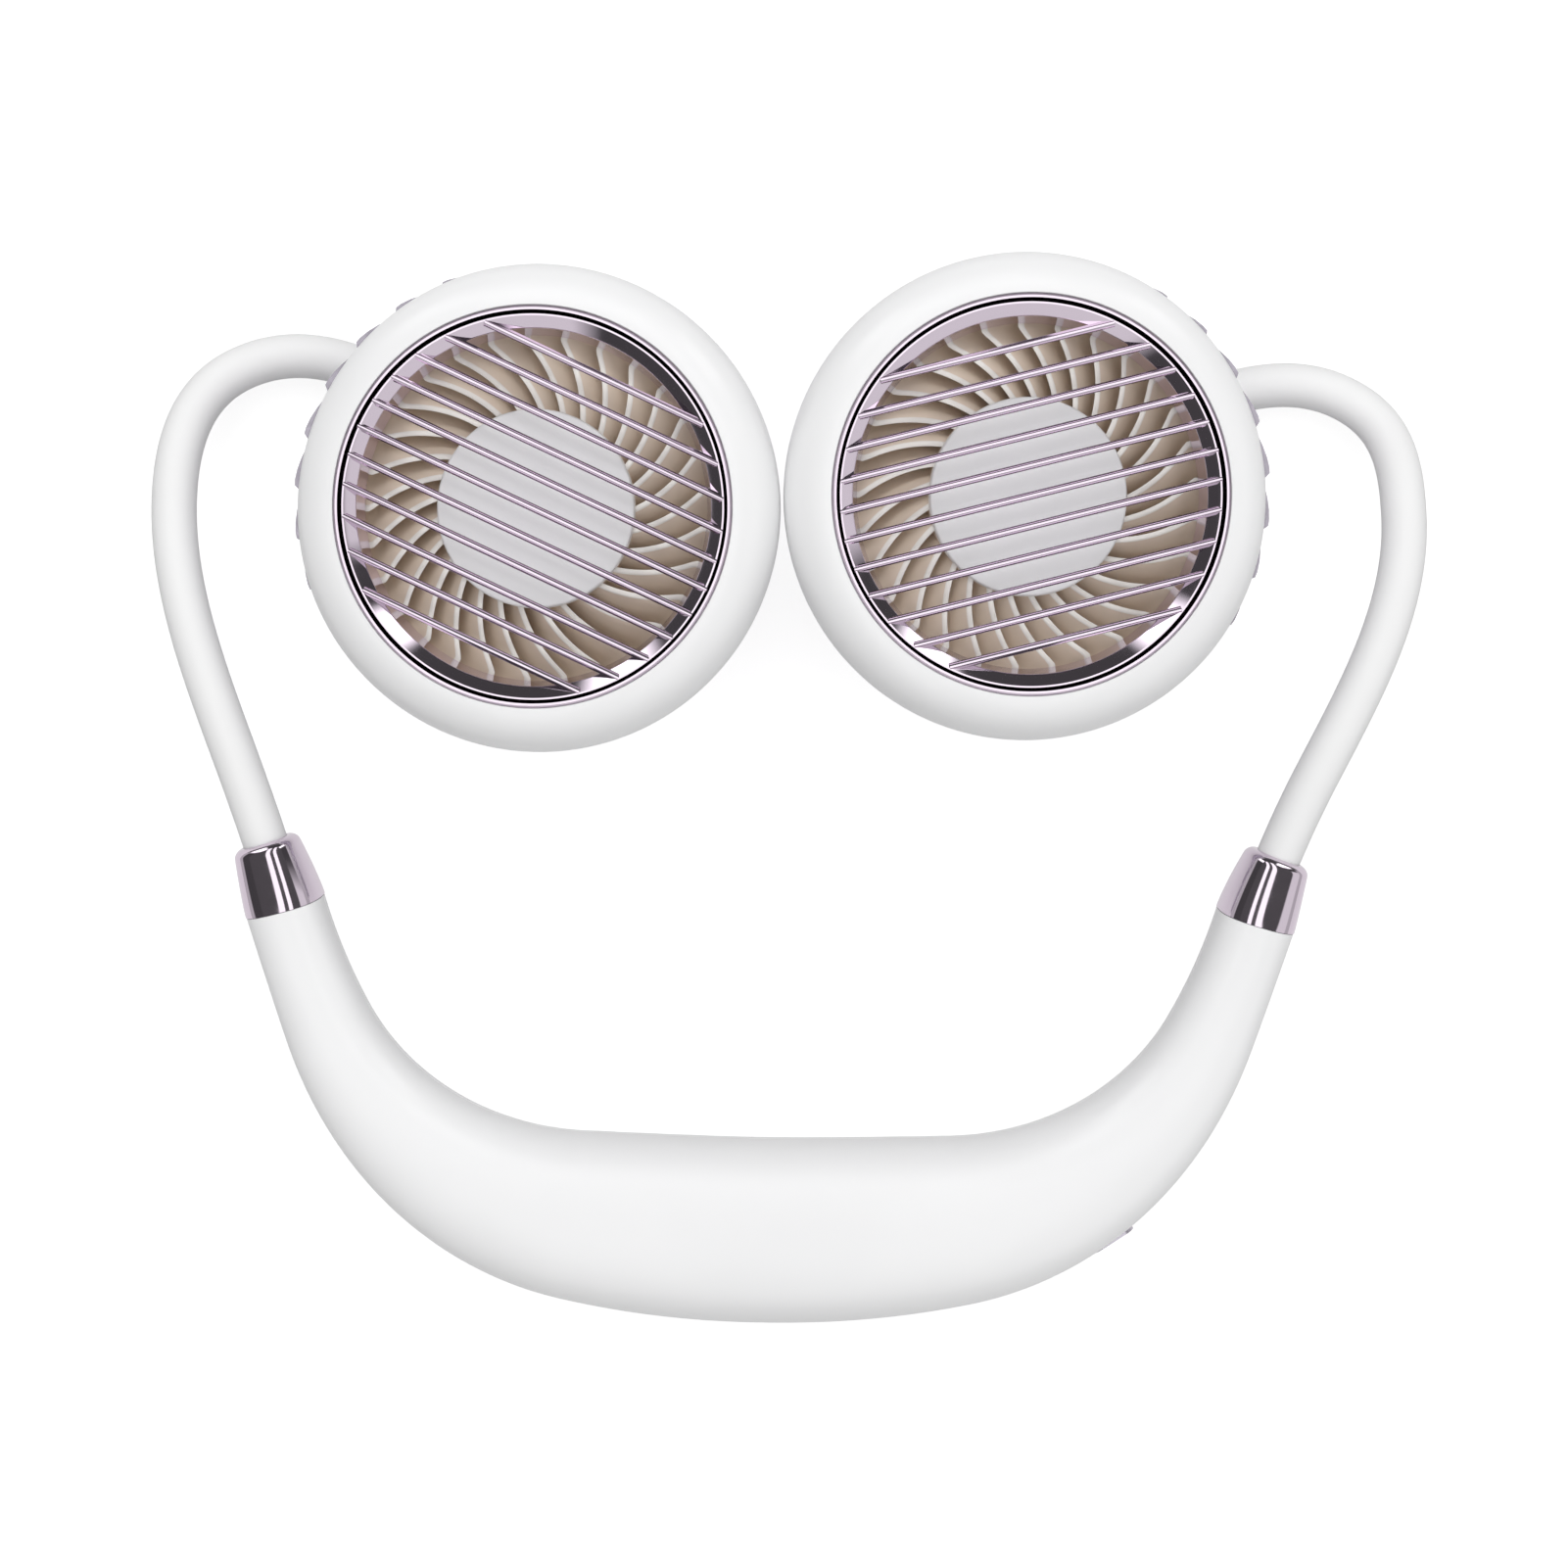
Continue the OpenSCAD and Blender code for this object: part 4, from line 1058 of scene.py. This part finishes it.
def board(name, rgb):
    """Green solder mask with faint copper tracks under it."""
    material, tree, surface = new_material(name)
    feeds = {"Vector": own_place(tree), "Scale": 300.0, "Mortar Size": 0.03}
    for key, amount in (("Color1", 1), ("Color2", 1.3), ("Mortar", 2.2)):
        feeds[key] = shaded(rgb, amount)
    tracks = put(tree, "TexBrick", feeds)["Color"]
    use = use_group(tree, "Moulded surface", moulded_group)
    feed(tree, surface, {"Base Color": tracks, "Roughness": use["Roughness"]})
    return material


# How each slot's material is made. Moulded: low and high roughness, grains in a metre, strength
# of the grain, depth of the mottle, constants of the shader. Drawn: roughness, lines in a metre
FINISHES = {
    "shell_white": (moulded, 0.28, 0.36, 6000, 0.06, 0.012, {"Coat Weight": 0.15}),
    "sleeve_white": (moulded, 0.46, 0.58, 4500, 0.12, 0.015),
    "chrome_lilac": (moulded, 0.05, 0.09, 900, 0.02, 0.02, {"Metallic": 1.0}),
    "cover_lilac": (moulded, 0.16, 0.24, 1500, 0.03, 0.03, {"Metallic": 0.55, "Coat Weight": 0.4}),
    "blade_cream": (blades, 0.38, 0.5, 3500),
    "hub_white": (moulded, 0.3, 0.38, 6000, 0.05, 0.01),
    "frame_cream": (moulded, 0.42, 0.55, 3500),
    "motor_can": (drawn, 0.34, 900),
    "steel": (drawn, 0.28, 1400),
    "cell_wrap": (moulded, 0.2, 0.32, 2500, 0.1, 0.03, {"Coat Weight": 0.3}),
    "board_green": (board,),
    "switch_dark": (moulded, 0.35, 0.5, 5000),
    "lens_clear": (moulded, 0.06, 0.1, 2500, 0.1, 0.03, {"Transmission Weight": 0.8}),
}


def material_of(slot):
    """The material of a slot, named like its colour and made at its first use."""
    name = colours().bl_rna.properties[slot].name
    make, *values = FINISHES[slot]
    return bpy.data.materials.get(name) or make(name, getattr(colours(), slot), *values)


# Stage

# Floor: half its width in metres, its grey, its glow, and the share of the glow that mirrors see
FLOOR_HALF, FLOOR_GREY, FLOOR_GLOW, FLOOR_MIRRORED = 3, 0.42, 0.78, 0.55

# Place in metres, diameter and power of each lamp
LAMPS = {"Key": ((-0.1, 0.9, 1.0), 0.8, 6.0), "Fill": ((0.5, -0.55, 1.2), 0.9, 0.1)}

# Camera: its place in metres and its lens in mm
CAMERA_PLACE, CAMERA_LENS = (-0.88 * MM, 2.2 * MM, 450 * MM), 59.1

# Bright stretches of the walls: where each starts, is full, stops being full and ends, by the
# heading as a share of a turn from -X
BRIGHT = [(0.605, 0.62, 0.65, 0.665), (0.815, 0.835, 0.87, 0.89)]


def wall_stops(dark, pale, pale_stretch):
    """Stops of the walls' level: dark, with a pale stretch and the bright ones."""
    stops = [(0.0, dark)]
    for stretch, level in [(pale_stretch, pale)] + [(bright, 1.0) for bright in BRIGHT]:
        stops += zip(stretch, (dark, level, level, dark))
    return stops + [(1.0, dark)]


# Sky for diffuse light: its walls, its level overhead by height, and its strength
WALLS = wall_stops(0.05, 0.45, (0.14, 0.17, 0.53, 0.56))
OVERHEAD = [(0.74, 1.0), (0.98, 1.0), (0.99, 0.35), (1.0, 0.35)]
SKY_STRENGTH = 1.3

# Sky that plated pieces mirror: walls above and below a low line, two strips overhead by the
# distance from the middle, and its strength
HIGH_WALLS = wall_stops(0.03, 0.37, (0.16, 0.185, 0.535, 0.56))
LOW_WALLS = [(0.0, 0.24), (0.58, 0.24), (0.6, 0.06), (0.87, 0.06), (0.89, 0.24), (1.0, 0.24)]
STRIPS = [(0.0, 0.05), (0.08, 0.05), (0.095, 0.68), (0.27, 0.68), (0.285, 0.04), (1.0, 0.04)]
MIRRORED_STRENGTH = 2.2

# Heights between which walls turn into sky, and low walls into high ones
SKY_LINE = [(0.7, 0), (0.74, 1)]
LOW_LINE = [(0.28, 0), (0.31, 1)]


def maths(tree, operation, *values):
    feeds = dict(enumerate(values))
    return put(tree, "Math", feeds, operation=operation)["Value"]


def ramp(tree, factor, stops):
    """A level that follows stops of (factor, level)."""
    node = tree.nodes.new("ShaderNodeValToRGB")
    tree.links.new(factor, node.inputs["Fac"])
    elements = node.color_ramp.elements
    for i in (0, -1):
        elements[i].position = stops[i][0]
        elements[i].color = (*[stops[i][1]] * 3, 1)
    for at, level in stops[1:-1]:
        elements.new(at).color = (level, level, level, 1)
    return node.outputs["Color"]


def background(tree, tint, strength):
    feeds = {"Color": tint, "Strength": strength}
    return put(tree, "Background", feeds)["Background"]


def build_floor():
    """Floor: grey paper that glows for the camera, and about half as much for mirrors."""
    corners = [(-1, -1), (1, -1), (1, 1), (-1, 1)]
    points = [(FLOOR_HALF * x, FLOOR_HALF * y, 0) for x, y in corners]
    floor = piece("Floor", points, [(0, 1, 2, 3)])
    material, tree, _ = new_material("Floor")
    tree.nodes.clear()
    path = put(tree, "LightPath")
    mirrored = maths(tree, "MULTIPLY", path["Is Glossy Ray"], FLOOR_MIRRORED)
    seen = maths(tree, "MAXIMUM", path["Is Camera Ray"], mirrored)
    seen = maths(tree, "MAXIMUM", seen, path["Is Transmission Ray"])
    glow = {"Color": (1, 1, 1, 1), "Strength": maths(tree, "MULTIPLY", seen, FLOOR_GLOW)}
    paper = put(tree, "BsdfDiffuse", {"Color": (*[FLOOR_GREY] * 3, 1)})["BSDF"]
    light = put(tree, "Emission", glow)["Emission"]
    both = put(tree, "AddShader", {0: paper, 1: light})["Shader"]
    put(tree, "OutputMaterial", {"Surface": both})
    floor.data.materials.append(material)


def build_sky():
    """Sky: white for the camera, softboxes for diffuse light, and sharper ones for mirrors."""
    world = bpy.data.worlds.new("Studio")
    world.use_nodes = True
    bpy.context.scene.world = world
    tree = world.node_tree
    tree.nodes.clear()
    where = put(tree, "TexCoord")["Generated"]
    way = put(tree, "SeparateXYZ", {"Vector": where})
    heading = maths(tree, "ARCTAN2", way["Y"], way["X"])
    turn = {"Value": heading, "From Min": -math.pi, "From Max": math.pi}
    turn_share = put(tree, "MapRange", turn)["Result"]
    walls, high_walls, low_walls = (
        ramp(tree, turn_share, stops) for stops in (WALLS, HIGH_WALLS, LOW_WALLS)
    )
    overhead, is_overhead, is_high = (
        ramp(tree, way["Z"], stops) for stops in (OVERHEAD, SKY_LINE, LOW_LINE)
    )
    strips = ramp(tree, maths(tree, "ABSOLUTE", way["X"]), STRIPS)
    mirrored_walls = mixed(tree, is_high, low_walls, high_walls)
    soft = background(tree, mixed(tree, is_overhead, walls, overhead), SKY_STRENGTH)
    sharp = background(tree, mixed(tree, is_overhead, mirrored_walls, strips), MIRRORED_STRENGTH)
    white = background(tree, (1, 1, 1, 1), 1.0)
    path = put(tree, "LightPath")
    mirrored = maths(tree, "MAXIMUM", path["Is Glossy Ray"], path["Is Transmission Ray"])
    both = put(tree, "MixShader", {0: mirrored, 1: soft, 2: sharp})["Shader"]
    feeds = {0: path["Is Camera Ray"], 1: both, 2: white}
    whole = put(tree, "MixShader", feeds)["Shader"]
    put(tree, "OutputWorld", {"Surface": whole})


def build_lamp(name, place, size, power):
    """A round lamp that shines at the middle and shows in no mirror."""
    data = bpy.data.lights.new(name, "AREA")
    data.shape = "DISK"
    data.size = size
    data.energy = power
    lamp = bpy.data.objects.new(name, data)
    bpy.context.scene.collection.objects.link(lamp)
    lamp.location = place
    lamp.rotation_euler = (-Vector(place)).to_track_quat("-Z", "Y").to_euler()
    lamp.visible_glossy = False


def build_camera():
    data = bpy.data.cameras.new("Camera")
    data.lens = CAMERA_LENS
    data.sensor_width = 36
    data.clip_start = 0.01
    camera = bpy.data.objects.new("Camera", data)
    camera.location = CAMERA_PLACE
    bpy.context.scene.collection.objects.link(camera)
    bpy.context.scene.camera = camera


# Operators

# Slots of the frame's own pieces, by a word in their names
FRAME_SLOTS = {
    "rear_cover": "cover_lilac",
    "fan_frame": "frame_cream",
    "motor": "motor_can",
    "shaft": "steel",
    "screws": "steel",
    "anchor": "steel",
    "spine": "steel",
    "port": "steel",
    "cell": "cell_wrap",
    "board": "board_green",
    "switch": "switch_dark",
    "button": "cover_lilac",
    "lens": "lens_clear",
}


class BuildNeckband(bpy.types.Operator):
    """Builds the two shells of the neckband"""

    bl_idname = "neck_fan.neckband"
    bl_label = "Neckband"

    def execute(self, context):
        line = CentreLine(band_sizes())
        top = shell("band_top", 1, line)
        bottom = shell("band_bottom", -1, line)
        cut(top, wall_cutters())
        cut(bottom, wall_cutters() + screw_cutters())
        flat_foot(bottom)
        for obj in (top, bottom):
            finish(obj, "band", [f"{obj.name}_shell"], "shell_white")
        return {"FINISHED"}


class BuildArms(bpy.types.Operator):
    """Builds the plated ferrules and the soft sleeves of both arms"""

    bl_idname = "neck_fan.arms"
    bl_label = "Arms"

    def execute(self, context):
        for side in SIDES:
            build_ferrule(side)
            build_sleeves(side)
        return {"FINISHED"}


class BuildHeads(bpy.types.Operator):
    """Builds the bezels and grilles of both heads"""

    bl_idname = "neck_fan.heads"
    bl_label = "Heads"

    def execute(self, context):
        for side in SIDES:
            build_bezel(side)
            build_grille(side)
        return {"FINISHED"}


class BuildFans(bpy.types.Operator):
    """Builds the rotors and hub caps of both fans"""

    bl_idname = "neck_fan.fans"
    bl_label = "Fans"

    def execute(self, context):
        for side in SIDES:
            build_rotor(side)
            build_hub_cap(side)
        return {"FINISHED"}


class DressFrame(bpy.types.Operator):
    """Gives the pieces of the frame that stay their materials and smooth shading"""

    bl_idname = "neck_fan.dress"
    bl_label = "Dress frame"

    def execute(self, context):
        for name, obj in frame["nodes"].items():
            if obj.hide_render:
                continue
            slot = next(s for word, s in FRAME_SLOTS.items() if word in name)
            dress(obj, slot, COVER_SHARP if "rear_cover" in name else FRAME_SHARP)
        return {"FINISHED"}


class BuildStage(bpy.types.Operator):
    """Builds the floor, the sky, the lamps and the camera"""

    bl_idname = "neck_fan.stage"
    bl_label = "Stage"

    def execute(self, context):
        build_floor()
        build_sky()
        for name, values in LAMPS.items():
            build_lamp(name, *values)
        build_camera()
        context.scene.view_settings.view_transform = "Standard"
        return {"FINISHED"}


class NeckFanPanel(bpy.types.Panel):
    """Lists the steps that build the fan, its sizes and its colours"""

    bl_idname = "VIEW3D_PT_neck_fan"
    bl_label = "Neck Fan"
    bl_space_type = "VIEW_3D"
    bl_region_type = "UI"
    bl_category = "Neck Fan"

    def draw(self, context):
        for step in STEPS:
            self.layout.operator(step.bl_idname)
        for group in GROUPS:
            box = self.layout.box()
            values = getattr(context.scene, group)
            for key in values.__annotations__:
                box.prop(values, key)


STEPS = (BuildNeckband, BuildArms, BuildHeads, BuildFans, DressFrame, BuildStage)
GROUPS = {
    "neck_fan_band": NeckbandSizes,
    "neck_fan_arms": ArmSizes,
    "neck_fan_heads": HeadSizes,
    "neck_fan_colours": FinishColours,
}


def register():
    for kind in (*GROUPS.values(), *STEPS, NeckFanPanel):
        bpy.utils.register_class(kind)
    for name, kind in GROUPS.items():
        setattr(bpy.types.Scene, name, bpy.props.PointerProperty(type=kind))


def unregister():
    for name in GROUPS:
        delattr(bpy.types.Scene, name)
    for kind in (NeckFanPanel, *reversed(STEPS), *reversed(GROUPS.values())):
        bpy.utils.unregister_class(kind)


def main():
    register()
    bpy.ops.neck_fan.neckband()
    bpy.ops.neck_fan.arms()
    bpy.ops.neck_fan.heads()
    bpy.ops.neck_fan.fans()
    bpy.ops.neck_fan.dress()
    bpy.ops.neck_fan.stage()


if __name__ == "__main__":
    main()
